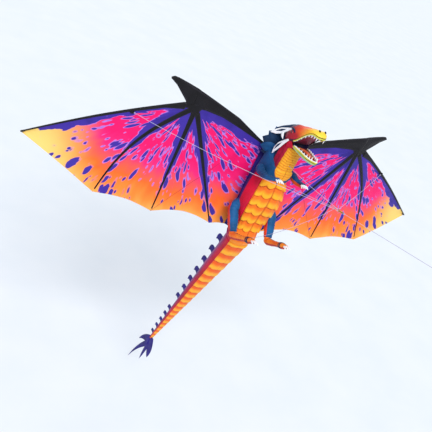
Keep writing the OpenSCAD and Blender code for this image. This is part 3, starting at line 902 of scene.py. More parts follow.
def make_belly():
    rows, scallops = 7, 4
    u = np.linspace(-1, 1, 97)
    v = np.linspace(0, 1, 177)
    angle = np.broadcast_to(u * BELLY_ANGLE, (len(v), len(u)))
    top = -126 + 16 * np.cos(u * math.pi / 2) ** 0.8
    z = top * (1 - v[:, None]) + -434 * v[:, None]
    wave = np.abs(np.sin(math.pi * scallops * (u + 1) / 2))
    level = v[:, None] * rows - 0.16 * (wave - 0.5)[None, :] + 0.05 * np.sin(u * 7)[None, :]
    level = np.clip(level, 0, rows - 1e-6)
    row, part = np.floor(level), level % 1
    last = row >= rows - 1
    part = np.where(last, clamp((level - (rows - 1)) / 1.0) * 0.9, part)
    puff = 10.5 * row_profile(part) * (0.5 + 0.5 * wave[None, :] ** 0.5)
    puff = puff * (1 - 0.5 * np.exp(-((u[None, :] / 0.03) ** 2)))
    puff = puff * smooth(1 - np.abs(u)[None, :], 0, 0.09) + 1.2
    pucker = 0.8 * np.sin(angle / 2.1 + row * 2.4) * smooth(part, 0.5, 0.0)
    out = puff + pucker
    front, back = body_at(z, angle, out), body_at(z, angle, -1.8)
    facts = {"row_part": part, "girth": u * 0.98, "tone": last * 0.75}
    made = thick("belly_scales", front / 1000, back / 1000, BELLY, facts)
    sew(made, "root", "belly_panel")


def make_flank(label, side):
    u = np.linspace(0, 1, 30)
    v = np.linspace(0, 1, 90)
    angle = BELLY_ANGLE + (FLANK_ANGLE - BELLY_ANGLE) * np.broadcast_to(u, (len(v), len(u)))
    z = PANEL_TOP + (PANEL_HEM - PANEL_TOP) * np.broadcast_to(v[:, None], angle.shape)
    seam = smooth(u, 0, 0.12) * smooth(1 - u, 0, 0.12)
    folds = 1.3 * np.sin(v[:, None] * 46 + u[None, :] * 5) * (1 - seam)[None, :]
    out = 3.2 * seam[None, :] + folds + 0.8 * np.sin(v[:, None] * 9) - 0.6
    front, back = body_at(z, angle * side, out), body_at(z, angle * side, -1.8)
    facts = {"row_part": 0.5, "girth": 1.05 + 0.9 * u, "tone": 0}
    made = thick(f"flank_cloth_{label}", front / 1000, back / 1000, BELLY, facts)
    sew(made, "root", f"flank_{label}")


def make_back():
    u = np.linspace(0, 1, 60)
    v = np.linspace(0, 1, 100)
    angle = FLANK_ANGLE + (360 - 2 * FLANK_ANGLE) * np.broadcast_to(u, (len(v), len(u)))
    z = PANEL_TOP + (PANEL_HEM - PANEL_TOP) * np.broadcast_to(v[:, None], angle.shape)
    seam = smooth(u, 0, 0.1) * smooth(1 - u, 0, 0.1)
    quilt = np.abs(np.sin(v * math.pi * 6))[:, None] ** 0.5
    out = 2.6 * seam[None, :] * quilt - 0.4
    front, back = body_at(z, angle, out), body_at(z, angle, -1.8)
    made = thick("back_cloth", front / 1000, back / 1000, INDIGO_CLOTH)
    sew(made, "root", "back_panel")


make_belly()
for label, side in SIDES:
    make_flank(label, side)
make_back()


# Shoulders: from the chest up to the neck seam
YOKE = [
    [-138, 390, 62, 508], [-126, 388, 62, 506], [-114, 380, 62, 498], [-104, 374, 54, 484],
    [-97, 373, 45, 466],
]


def turns(count):
    """Angles of a closed section in degrees, 0 in front."""
    return (np.arange(count) * 360 / count + 180) % 360 - 180


def yoke_ring(z, out):
    st = along(YOKE, z)
    s, c = superellipse(np.arange(ROUND) * 360 / ROUND)
    return np.stack([(st[1] + out) * s, (st[0] + st[2]) / 2 - ((st[2] - st[0]) / 2 + out) * c, z + 0 * s], -1)


def make_yoke():
    zs = np.linspace(-138, -97, 16)
    outer = [yoke_ring(z, 4.6 + 0.5 * math.sin(k * 1.9) - 0.2 * k) for k, z in enumerate(zs)]
    inner = [yoke_ring(z, -1.6) for z in zs[::-1]]
    rings = np.array(outer + inner)
    faces = grid_faces(len(rings), ROUND, 0, True)
    last = (len(rings) - 1) * ROUND
    faces += [(last + c, last + (c + 1) % ROUND, (c + 1) % ROUND, c) for c in range(ROUND)]
    made = build("shoulder_yoke", rings.reshape(-1, 3) / 1000, faces, TEAL)
    sew(made, "root", "yoke")


make_yoke()


def make_root_webs():
    """Cloth gussets between the body's back and the wing roots."""
    for label, side in SIDES:
        v = np.linspace(0, 1, 70)
        u = np.linspace(0, 1, 14)
        z = np.broadcast_to((-44 + (-436 + 44) * v)[:, None], (len(v), len(u)))
        inner_z = np.clip(z, -430, -128)
        inside = body_at(inner_z, 138.0 * side + 0 * z, 0.5)
        inside[..., 2] = np.minimum(z, -60)
        x0, y0 = np.abs(inside[..., 0]), inside[..., 1]
        high = smooth(z, -128, -60)
        x0 = x0 * (1 - high) + 30 * high
        y0 = y0 * (1 - high) + 506 * high
        x = x0 + (58 - x0) * u
        y = y0 + (512.2 - y0) * smooth(u, 0, 1) + 0.7 * np.sin(v[:, None] * 40)
        made = slab(f"root_gusset_{label}", x, y, z, 0.5, 0.5, side, INDIGO_CLOTH)
        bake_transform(made)


make_root_webs()

# ---------------------------------------------------------------- tail
TAIL_START = np.array([0, 455.0, -440.0])
TAIL_TIP = np.array([0, 750.0, -1335.0])
TAIL_LONG = float(np.linalg.norm(TAIL_TIP - TAIL_START))
TAIL_WAY = (TAIL_TIP - TAIL_START) / TAIL_LONG
TAIL_BACK = np.array([0, -TAIL_WAY[2], TAIL_WAY[1]])
TAIL_CUTS = [0, 0.36, 0.7, 1]
FINS = (("tail_front", 3, 0.128, 0.085), ("tail_mid", 4, 0.384, 0.076), ("tail_rear", 5, 0.722, 0.0575))
TAIL_ROWS = 19
FRONT_ANGLE = 56.0
TAIL_RIDGE, TAIL_FRONT, RIDGE_POWER = 1.35, 0.9, 1.5
TAIL_THICK, TAIL_TAPER = 53, 45
ROWS_LONG = 942  # length that the scale rows cover, mm
FIN_SLOPE = 0.0645  # slope of the ridge that the fins stand on


def tail_radius(t):
    return TAIL_THICK - TAIL_TAPER * t


def tail_section(turn):
    """Across and back shares of the tail's section: rounded in front, narrowing to a ridge behind."""
    s, c = np.sin(np.radians(turn)), np.cos(np.radians(turn))
    power = np.where(c < 0, RIDGE_POWER, POWER)
    depth = np.where(c < 0, TAIL_RIDGE, TAIL_FRONT)
    return np.sign(s) * np.abs(s) ** power, -np.sign(c) * np.abs(c) ** power * depth


def tail_level(t):
    """Row number along the tail: rows get shorter towards the tip."""
    return TAIL_ROWS * (t + 0.28 * (t * t - t))


def tail_skin(name, start, end, per_row=13):
    """Piece of the tail between two distances along it, mm, with its scale rows."""
    count = max(8, int((end - start) / ROWS_LONG * TAIL_ROWS * per_row))
    s = np.linspace(start, end, count)
    turn = turns(ROUND)
    t = (s / TAIL_LONG)[:, None]
    front = np.abs(turn) / FRONT_ANGLE
    bow = -0.10 * np.cos(clamp(front) * math.pi / 2)[None, :] + 0.05 * np.abs(np.sin(turn / 13.0))[None, :]
    level = tail_level(clamp(t, 0, 1)) - bow + 0.35
    part = level % 1
    size = (tail_radius(t) / TAIL_THICK) ** 0.8
    puff = 6.2 * size * row_profile(part) * smooth(1.04 - front, 0, 0.12)[None, :]
    side_puff = 2.0 * size * smooth(front, 1.0, 1.15) * smooth(2.0 - front, 0, 0.2)
    out = puff + side_puff + 0.5 * np.sin(turn / 5.3)[None, :] * (part < 0.3) * size
    sn, bk = tail_section(turn)
    base = TAIL_START + TAIL_WAY * s[:, None]
    radius = tail_radius(t) + out
    points = base[:, None] + radius[..., None] * (
        sn[None, :, None] * np.array([1.0, 0, 0]) + bk[None, :, None] * TAIL_BACK
    )
    facts = {"row_part": part, "girth": np.sign(turn) * np.maximum(front, 0.3), "tone": 0}
    return loft(name, points / 1000, TAIL, facts)


def make_tail():
    cuts = [c * TAIL_LONG for c in TAIL_CUTS]
    bodies = ["tail_front", "tail_mid", "tail_rear"]
    reach = 15.0
    for i, body in enumerate(bodies):
        start = cuts[i] + (26 if i == 0 else reach)
        end = cuts[i + 1] - (reach if i < 2 else 0)
        made = tail_skin(f"{body}_scales", start, end)
        sew(made, body, body)
    for i, (a, b) in enumerate(zip(bodies, bodies[1:])):
        cut = cuts[i + 1]
        made = tail_skin(f"tail_joint_{i + 1}", cut - reach - 1, cut + reach + 1, per_row=22)
        ends = [(TAIL_START + TAIL_WAY * (cut + k * reach)) / 1000 for k in (-1, 1)]
        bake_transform(made)
    # waist: gathered cloth from the body's hem to the tail's first row
    turn = turns(ROUND)
    sn, bk = tail_section(turn)
    hem = body_at(np.full(ROUND, -428.0), turn, -1.0)
    base = TAIL_START + TAIL_WAY * 30
    first = base + tail_radius(30 / TAIL_LONG) * (
        sn[:, None] * np.array([1.0, 0, 0]) + bk[:, None] * TAIL_BACK
    )
    rings = []
    ts = np.linspace(0, 1, 22)
    for t in ts:
        ring = hem * (1 - t) + first * t
        centre = ring.mean(0)
        swell = 1 + 0.10 * math.sin(math.pi * t) ** 2 - 0.10 * math.exp(-(((t - 0.22) / 0.10) ** 2))
        crimp = 1 + 0.012 * np.sin(np.radians(turn) * 17)[:, None] * math.sin(math.pi * t)
        rings.append(centre + (ring - centre) * swell * crimp)
    rings = np.array(rings)
    front = np.abs(turn) / FRONT_ANGLE
    girth = np.sign(turn) * np.maximum(front, 0.3)
    facts = {"row_part": (0.25 + 0.6 * ts)[:, None], "girth": girth, "tone": 0.45}
    made = loft("tail_waist", rings / 1000, TAIL, facts)
    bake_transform(made)


make_tail()


def quadratic(a, m, b, t):
    a, m, b = (np.asarray(p, float) for p in (a, m, b))
    t = t[:, None]
    return (1 - t) ** 2 * a + 2 * t * (1 - t) * m + t * t * b


def blade_rings(a, mid_a, tip, mid_b, b, half, frame_of, count=18):
    """Rings of a flat blade between two curved edges that meet at a tip.

    frame_of maps flat points to space.
    """
    t = np.linspace(0, 0.985, count)
    one, two = quadratic(a, mid_a, tip, t), quadratic(b, mid_b, tip, t)
    angle = np.linspace(0, 2 * math.pi, 17)[:-1]
    w = (1 - np.cos(angle)) / 2
    lens = np.sign(np.sin(angle)) * np.abs(np.sin(angle)) ** 0.8
    flat = one[:, None] * (1 - w)[None, :, None] + two[:, None] * w[None, :, None]
    depth = half * (1 - 0.75 * t)[:, None] * lens[None, :]
    return frame_of(flat, depth) / 1000


def centre_plane(flat, depth):
    return np.stack([depth, flat[..., 0], flat[..., 1]], -1)


def make_fins():
    for body, count, first, step in FINS:
        parts = []
        for k in range(count):
            t = first + step * k
            size = 1 - 0.45 * t
            long, tall = 56 * size, 52 * size
            foot = TAIL_START + (TAIL_TIP - TAIL_START) * t + TAIL_BACK * (tail_radius(t) * TAIL_RIDGE - 4)

            def on_tail(flat, depth, foot=foot):
                p = foot + flat[..., :1] * TAIL_WAY + (flat[..., 1:] - flat[..., :1] * FIN_SLOPE) * TAIL_BACK
                p[..., 0] += depth
                return p

            parts.append(
                blade_rings(
                    (0, 0), (long * 0.2, tall * 1.4),
                    (long * 1.1, tall * 0.92), (long * 0.72, tall * 0.72), (long * 0.78, 0),
                    3.4 * size, on_tail,
                )
            )
        made = gather(f"{body}_fins", parts, INDIGO_CLOTH)
        sew(made, body, f"tail_fins_{body[5:]}")
    blades = [
        ((742, -1318), (840, -1380), (858, -1448), (815, -1400), (756, -1392)),
        ((752, -1345), (862, -1490), (887, -1610), (836, -1490), (748, -1400)),
        ((756, -1370), (778, -1440), (767, -1510), (744, -1450), (732, -1380)),
        ((762, -1338), (752, -1420), (704, -1437), (668, -1370), (720, -1322)),
    ]
    made = gather("tail_fan_cloth", [blade_rings(*b, 3.2, centre_plane, 26) for b in blades], INDIGO_CLOTH)
    sew(made, "tail_rear", "tail_fan")


make_fins()

# ---------------------------------------------------------------- neck and head
NECK_BOTTOM, NECK_TOP, NECK_Y, NECK_DEPTH = -87, 52, 416, 46


def neck_points(t, turn, out):
    """Skin of the neck: t runs from the chest to the skull."""
    s, c = superellipse(turn)
    wide = 42 - 6 * t
    y = -(NECK_DEPTH + out) * c
    lean = 11 * t**1.5 * (1 + c) / 2
    return np.stack(
        [(wide + out) * s, NECK_Y + y - lean, NECK_BOTTOM + (NECK_TOP - NECK_BOTTOM) * t + 0.46 * t * y], -1
    )


def make_neck():
    rows = 11
    turn = turns(84)
    t = np.linspace(0.03, 1.0, 120)[:, None] + 0 * turn[None, :]
    front = np.abs(turn) / FRONT_ANGLE
    wave = np.abs(np.sin(turn / FRONT_ANGLE * math.pi * 1.5))
    level = (1 - t) * rows - 0.16 * wave[None, :] + 0.3
    row, part = np.floor(level), level % 1
    puff = 3.6 * row_profile(part) * smooth(1.04 - front, 0, 0.15)[None, :] * smooth(t, 0.09, 0.18)
    sides = 1.8 * (smooth(front, 1.0, 1.2) * np.abs(np.sin(turn / 9)))[None, :]
    points = neck_points(t, turn[None, :] + 0 * t, puff + sides)
    brick = np.where(row % 2 == 0, 0.0, 0.45)
    girth = np.where(front < 1, np.abs(np.abs(turn / FRONT_ANGLE) - brick) * 0.9, front)
    made = loft("neck_scales", points / 1000, NECK, {"row_part": part, "girth": girth, "tone": 0})
    sew(made, "head", "neck")


make_neck()


def cape_rings(levels):
    """Rings of the shoulder cloth from the chest's hem, level 0, to the neck, level 1.

    Column 0 is the front.
    """
    turn = turns(ROUND)
    behind = (1 - np.cos(np.radians(turn))) / 2
    side = np.abs(np.sin(np.radians(turn)))
    low = yoke_ring(-121, 5.2)
    high = neck_points(0.07 + 0.50 * behind**1.8, turn, 3.2 + 28 * behind * behind + 8 * side * behind)
    rings = []
    for t in levels:
        ring = low * (1 - t) + high * t
        centre = ring.mean(0)
        sag = 1 + 0.04 * math.sin(math.pi * t) + 0.012 * math.sin(math.pi * t) * np.sin(np.radians(turn) * 9)
        rings.append(centre + (ring - centre) * np.reshape(sag, (-1, 1)))
    return np.array(rings)


def make_cape():
    """Shoulder cloth that rises from the chest's hem to the neck, higher behind than in front."""
    made = loft("shoulder_cape", cape_rings(np.linspace(0, 1, 20)) / 1000, TEAL)
    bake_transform(made)
    # bib: two columns of scales that carry the neck's print down the cape's front to a point
    level = np.linspace(1.2, 0.1, 48)
    rings = cape_rings(np.minimum(level, 1))
    turn = turns(ROUND)
    above = smooth(level, 1.0, 1.2)[:, None]
    on_neck = neck_points(0.07 + 0.09 * above, turn[None, :], -1.5)
    rings = rings * (1 - above[..., None]) + on_neck * above[..., None]
    across = np.linspace(-1, 1, 41)
    reach = 11.5 * clamp((level - 0.04) / 0.96)[:, None]
    column = across[None, :] * reach
    first = np.floor(column).astype(int)
    part = (column - first)[..., None]
    row = np.arange(len(level))[:, None]
    skin = rings[row, first % ROUND] * (1 - part) + rings[row, (first + 1) % ROUND] * part
    rows = (1.2 - level) * 4.0
    wave = 0.18 * np.abs(np.sin(across * math.pi))
    height = rows[:, None] - wave[None, :] + 0.5
    puff = 1.6 + 3.0 * row_profile(height % 1) * smooth(1.03 - np.abs(across), 0, 0.2)[None, :]
    out = np.stack([0.45 * across[None, :] + 0 * puff, -1 + 0 * puff, 0.25 + 0 * puff], -1)
    front = skin + out * puff[..., None]
    facts = {"row_part": height % 1, "girth": np.abs(across) * 0.9, "tone": 0}
    made = thick("neck_bib", front / 1000, (skin - out * 0.6) / 1000, NECK, facts)
    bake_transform(made)


make_cape()

# Head stations: y, bottom z, top z, half width
SKULL = [
    [470, 50, 76, 22], [455, 46, 91, 34], [432, 46, 106, 42], [405, 48, 119, 46], [385, 52, 127, 44],
    [368, 60, 134, 41], [355, 70, 138, 38], [340, 87, 143, 36], [322, 107, 149, 35], [305, 123, 154, 33],
    [290, 132, 156, 30], [276, 135, 155, 25], [266, 134, 151, 18], [260, 135, 147, 11],
]
JAW = [
    [362, 37, 50, 33], [345, 37, 53, 35], [318, 35, 54, 32], [290, 34, 54, 28],
    [262, 35, 54, 22], [244, 38, 55, 15], [232, 43, 57, 8],
]


def head_material():
    """Skull: yellow snout, orange-red brow, dark crimson cheeks, navy crown, and a lined mouth roof."""
    p = Paint("head_print", rough=0.45, sheen=0.04, coat=0.06)
    place = p.rest()
    _, y, z = p.split(place)
    wave = p.noise(place, 26.0, 3.0) - 0.5
    top = p.ramp(
        (y + wave * 0.022 - 0.25) / 0.2,
        [
            (0.0, "#ffe14a"), (0.24, "#ffc528"), (0.42, "#f98a1c"), (0.56, "#e8481a"), (0.70, "#c02a22"),
            (0.80, "#0c2c50"),
        ],
    )
    low = p.ramp(
        (y + wave * 0.02 - 0.25) / 0.2,
        [(0.0, "#ffd23a"), (0.36, "#f78a1c"), (0.54, "#b41a28"), (0.78, "#8a0f26"), (0.92, "#3a0a24")],
    )
    crown = p.ramp(z + wave * 0.03, [(0.0, "#000000"), (0.09, "#000000"), (0.112, "#ffffff")])
    colour = p.mix(crown, low, top)
    under = p.attribute("under")
    mouth = p.ramp(
        (y + wave * 0.02 - 0.25) / 0.15,
        [(0.0, "#ffcf5a"), (0.34, "#f7a332"), (0.52, "#8c1238"), (0.85, "#3c0a30")],
    )
    colour = p.mix(p.step(under, 0.35, 0.55), colour, mouth)
    height = p.weave(place, 0.02) + p.noise(place, 90.0, 3.0) * 1.5
    return p.finish(colour, height, 0.4, 0.0012)


def jaw_material():
    """Lower jaw: teal outside, yellow-green rim, dark red floor."""
    p = Paint("jaw_print", rough=0.45, sheen=0.04, coat=0.06)
    place = p.rest()
    _, y, z = p.split(place)
    wave = p.noise(place, 30.0, 3.0) - 0.5
    out = p.ramp(
        (z + wave * 0.006 - 0.022) / 0.034,
        [(0.0, "#2f9cc4"), (0.45, "#5cc0cc"), (0.75, "#c8d84a"), (1.0, "#f2cf35")],
    )
    under = p.attribute("under")
    floor = p.ramp((y + wave * 0.02 - 0.24) / 0.12, [(0.0, "#c22318"), (0.5, "#a81626"), (1.0, "#5c0c30")])
    colour = p.mix(p.step(under, 0.35, 0.55), out, floor)
    height = p.weave(place, 0.02) + p.noise(place, 90.0, 3.0) * 1.5
    return p.finish(colour, height, 0.4, 0.0012)


HEAD, JAW_SKIN = head_material(), jaw_material()


def head_ring(y, low, high, wide, hollow, roof):
    """Section of the head across y. roof marks the side that faces the mouth: -1 below, 1 above."""
    angle = np.arange(64) * 2 * math.pi / 64
    c, s = np.cos(angle), np.sin(angle)
    flat = smooth(roof * s, -0.05, 0.2)
    x = wide * np.sign(c) * np.abs(c) ** (0.75 - 0.5 * flat)
    z = (low + high) / 2 + (high - low) / 2 * np.sign(s) * np.abs(s) ** (0.85 - 0.5 * flat)
    mouth = smooth(roof * s, 0.1, 0.6)
    z = z - roof * hollow * mouth * (1 - (x / max(wide, 1)) ** 2)
    return np.stack([x, y + 0 * x, z], -1), mouth


def make_skull():
    ys = np.concatenate([[470.0], np.linspace(466, 266, 70), [263, 261, 260]])
    rings, under = [], []
    for y in ys:
        low, high, wide = along(SKULL, np.array(y))
        pad = 5 * float(smooth(y, 262, 275)) * (1 - float(smooth(y, 290, 315)))
        hollow = 9 * float(smooth(366 - y, 0, 40)) * float(smooth(y, 285, 318)) - pad
        ring, mouth = head_ring(y, low, high, wide, hollow, -1)
        x, z = ring[:, 0], ring[:, 2]
        side = np.abs(x)
        upper = smooth(z, (low + high) / 2, high)
        brow = 5 * math.exp(-(((y - 388) / 15) ** 2)) * np.exp(-(((side - 26) / 10) ** 2)) * upper
        nostril = 5.0 * math.exp(-(((y - 284) / 10) ** 2)) * np.exp(-(((side - 12) / 7) ** 2)) * upper
        dent = -5 * math.exp(-(((y - 350) / 15) ** 2)) * np.exp(-((side / 26) ** 2)) * upper
        cheek = 5 * math.exp(-(((y - 400) / 22) ** 2)) * np.exp(-(((z - 70) / 18) ** 2))
        hook = -6 * math.exp(-(((y - 262) / 9) ** 2)) * (1 - upper) * np.exp(-((side / 12) ** 2))
        ring[:, 2] += brow + nostril + dent + hook
        ring[:, 0] += np.sign(x) * cheek
        ridge = 1.0 * math.sin(y / 3.4) * float(smooth(y, 300, 330)) * (1 - float(smooth(y, 372, 385)))
        ring[:, 2] += ridge * np.exp(-((side / 16) ** 2)) * upper
        rings.append(ring)
        under.append(mouth * float(smooth(392 - y, 0, 14)))
    made = loft("skull_cloth", np.array(rings) / 1000, HEAD, {"under": np.array(under)})
    sew(made, "head", "skull")


def make_jaw():
    ys = np.concatenate([np.linspace(362, 240, 44), [237, 235, 234]])
    rings, under = [], []
    for y in ys:
        low, high, wide = along(JAW, np.array(y))
        hollow = 13 * float(smooth(y, 238, 262)) * float(smooth(366 - y, 0, 20))
        ring, mouth = head_ring(y, low, high, wide, hollow, 1)
        rings.append(ring)
        under.append(mouth)
    made = loft("jaw_cloth", np.array(rings) / 1000, JAW_SKIN, {"under": np.array(under)})
    sew(made, "jaw", "lower_jaw")


make_skull()
make_jaw()

LIP = plain_cloth("lip_cloth", "#eddc5a", "#c4c840", grid=0.02)
GUM = plain_cloth("mouth_line", "#1a0d12", "#0a0508", rough=0.4, grid=0.02)
TONGUE = plain_cloth("tongue_cloth", "#f08a4a", "#c8241e", rough=0.4, grid=0.02)
THROAT = plain_cloth("throat_cloth", "#1a1c50", "#0e0f30", rough=0.45, grid=0.02)


def eye_gloss():
    p = Paint("eye_gloss", rough=0.12, coat=0.6, specular=0.6)
    place = p.rest()
    colour = p.ramp(p.noise(place, 160.0, 2.0), [(0.35, "#2a0308"), (0.65, "#7c0c14")])
    return p.finish(colour, p.noise(place, 300.0, 1.0), 0.1, 0.0003)


EYE = eye_gloss()


def rim_route(stations, lift, inset, edge, start):
    """U-shaped route along a jaw's rim, from one mouth corner round the tip to the other."""
    ys = np.linspace(start, stations[-1][0], 35)
    st = along(stations, ys)
    z = st[:, edge] + lift
    x = st[:, 2] * 0.95 - inset
    left = np.stack([-x, ys, z], 1)
    right = np.stack([x, ys, z], 1)[::-1]
    tip = np.array([[0, ys[-1] - 3.0, z[-1]]])
    return np.concatenate([left, tip, right])


def make_rims():
    pieces = [
        ("upper_lip", SKULL, 4.0, 0.6, 0, 366, 2.8, LIP, "head"),
        ("upper_lip_line", SKULL, 8.2, -0.4, 0, 362, 1.4, GUM, "head"),
        ("upper_rim", SKULL, 1.2, 0.9, 0, 362, 1.6, WHITE, "head"),
        ("upper_gum", SKULL, 0.6, 3.0, 0, 366, 2.6, GUM, "head"),
        ("jaw_lip", JAW, -3.2, 0.2, 1, 358, 2.6, LIP, "jaw"),
        ("jaw_rim", JAW, 0.6, 1.0, 1, 356, 1.9, WHITE, "jaw"),
        ("jaw_lip_line", JAW, -6.6, -0.6, 1, 356, 1.1, GUM, "jaw"),
    ]
    for name, stations, lift, inset, edge, start, radius, material, body in pieces:
        route = resample(rim_route(stations, lift, inset, edge, start), 90)
        made = loft(name, tube_rings(route / 1000, radius / 1000, 10), material)
        sew(made, body)


def tooth_rings(place, way, size, long):
    """Curved tooth: a cone that bends back a little."""
    place, way = np.asarray(place, float), np.asarray(way, float) / np.linalg.norm(way)
    t = np.linspace(0, 1, 7)
    route = place + way * (t * long)[:, None] + np.array([0, 1.0, 0]) * (2.2 * t**2)[:, None]
    return tube_rings(route / 1000, size / 1000 * (1 - 0.9 * t**1.3), 8)


def make_teeth():
    for name, stations, edge, direction, ys, body, node in (
        ("upper_fangs", SKULL, 0, -1, (348, 332, 316, 302, 289, 277, 268), "head", "upper_teeth"),
        ("jaw_fangs", JAW, 1, 1, (338, 320, 302, 285, 269, 255, 244), "jaw", "lower_teeth"),
    ):
        parts = []
        for k, y in enumerate(ys):
            st = along(stations, np.array(float(y)))
            long = (6.5, 8, 10, 10, 13, 14, 17)[k]
            for side in (-1, 1):
                x = side * max(3.0, st[2] * 0.97 - 2.8)
                parts.append(
                    tooth_rings((x, y, st[edge] - direction * 2.5), (side * 0.05, 0, direction), 3.2, long)
                )
        made = gather(name, parts, WHITE)
        sew(made, body, node)


make_rims()
make_teeth()


def ball(name, place, radii, material, body, tilt):
    """Ellipsoid with soft poles."""
    lat = np.linspace(-math.pi / 2 + 0.06, math.pi / 2 - 0.06, 18)
    lon = np.arange(28) * 2 * math.pi / 28
    ring = np.stack(
        [
            np.cos(lat)[:, None] * np.cos(lon) * radii[0],
            np.cos(lat)[:, None] * np.sin(lon) * radii[1],
            np.broadcast_to(np.sin(lat)[:, None], (18, 28)) * radii[2],
        ],
        -1,
    )
    rings = ring @ np.array(Matrix.Rotation(tilt, 3, "X")).T + np.array(place)
    sew(loft(name, rings / 1000, material), body)


def make_mouth():
    # tongue: a long flattened lobe on the jaw's floor
    route = resample([[0, 352, 46], [0, 325, 53], [0, 296, 56], [0, 270, 56], [0, 254, 62]], 30)
    t = np.linspace(0, 1, 30)
    width = 15 * (1 - 0.55 * t**2) * np.sqrt(clamp(1.03 - t**6))
    made = loft("tongue", tube_rings(route / 1000, width / 1000, 16, 0.32), TONGUE)
    sew(made, "jaw")
    # throat: a funnel of dark cloth between the skull and the jaw
    u = np.linspace(-1, 1, 30)
    v = np.linspace(0, 1, 20)
    x = 33 * np.broadcast_to(u, (20, 30))
    z = np.broadcast_to((78 - 44 * v)[:, None], x.shape)
    y = 352 + 34 * (1 - np.abs(x / 36) ** 2.4) * (0.55 + 0.45 * np.sin(math.pi * v))[:, None]
    made = slab("throat", x, y, z, 0, 2, 1, THROAT)
    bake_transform(made)
    # cheeks: crimson webs at the mouth's corners
    for label, side in SIDES:
        v = np.linspace(0, 1, 16)
        u = np.linspace(0, 1, 14)
        top = along([[0, 41, 402, 62], [1, 36, 346, 80]], u)
        low = along([[0, 38, 392, 22], [1, 33.5, 352, 40]], u)
        p = top[None] * (1 - v)[:, None, None] + low[None] * v[:, None, None]
        notch = np.sin(math.pi * v)[:, None] * u[None, :] * 26
        p[..., 1] += notch
        p[..., 0] += 1.5 * np.sin(math.pi * v)[:, None]
        outer = mirrored(p, side)
        inner = mirrored(p - np.array([2.4, 0, 0]), side)
        made = thick(f"cheek_{label}", outer / 1000, inner / 1000, CRIMSON)
        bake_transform(made)


make_mouth()


def make_eyes():
    for label, side in SIDES:
        ball(
            f"eye_socket_{label}", (side * 40, 393, 90), (7.5, 14, 9), CRIMSON, "head", 0.35
        )
        ball(f"eye_{label}", (side * 44.5, 392, 90), (5, 8.5, 5.2), EYE, "head", 0.35)
        ball(f"nostril_{label}", (side * 13, 279, 160.5), (3.6, 5.5, 2.4), GUM, "head", 0.5)
        # eyelid roll over each eye
        lid = resample([[37, 372, 92], [43, 384, 101], [44, 398, 102], [38, 412, 94]], 20)
        made = loft(f"eyelid_{label}", tube_rings(mirrored(lid, side) / 1000, 0.0042, 10), NAVY)
        sew(made, "head")


make_eyes()


def blade_on(route, widths, half, normal, count=26):
    """Rings of a flat curved blade along a route: widths across it, half thick along normal."""
    route = resample(route, count)
    ahead = np.gradient(route, axis=0)
    ahead /= np.linalg.norm(ahead, axis=1)[:, None]
    normal = np.asarray(normal, float) / np.linalg.norm(normal)
    across = np.cross(ahead, normal)
    across /= np.linalg.norm(across, axis=1)[:, None]
    lift = np.cross(across, ahead)
    t = np.linspace(0, 1, len(widths))
    wide = np.interp(np.linspace(0, 1, count), t, widths)
    angle = np.arange(16) * 2 * math.pi / 16
    deep = half * np.minimum(1, wide / 6 + 0.15)
    return (
        route[:, None]
        + (wide[:, None] * np.cos(angle))[..., None] * across[:, None]
        + (deep[:, None] * np.sin(angle))[..., None] * lift[:, None]
    ) / 1000


def make_horns():
    """White ear blades, two on each side, with dark cores."""
    for label, side in SIDES:
        routes = [
            (
                [[44, 400, 98], [49, 422, 82], [55, 442, 66], [64, 462, 50], [74, 483, 33]],
                [4, 8, 12, 10, 0.8],
            ),
            ([[53, 434, 64], [55, 426, 56], [53, 414, 43]], [7, 6, 0.8]),
            (
                [[44, 389, 57], [49, 407, 33], [53, 422, 8], [54, 431, -12], [55, 434, -33]],
                [4, 8, 12, 10, 0.8],
            ),
        ]
        parts = [blade_on(mirrored(r, side), w, 3.4, (side, -0.25, 0.15)) for r, w in routes]
        made = gather(f"ear_blades_{label}", parts, WHITE)
        sew(made, "head", "horns" if label == "left" else None)
        cores = [
            ([[51, 422, 84], [58.5, 443, 67], [67, 464, 50]], [0.8, 4.5, 0.8]),
            ([[52.5, 409, 30], [56.5, 422, 8], [57.5, 429, -10]], [0.8, 4.4, 0.8]),
        ]
        parts = [blade_on(mirrored(r, side), w, 3.2, (side, -0.25, 0.15), 16) for r, w in cores]
        made = gather(f"ear_cores_{label}", parts, NAVY)
        sew(made, "head")


make_horns()


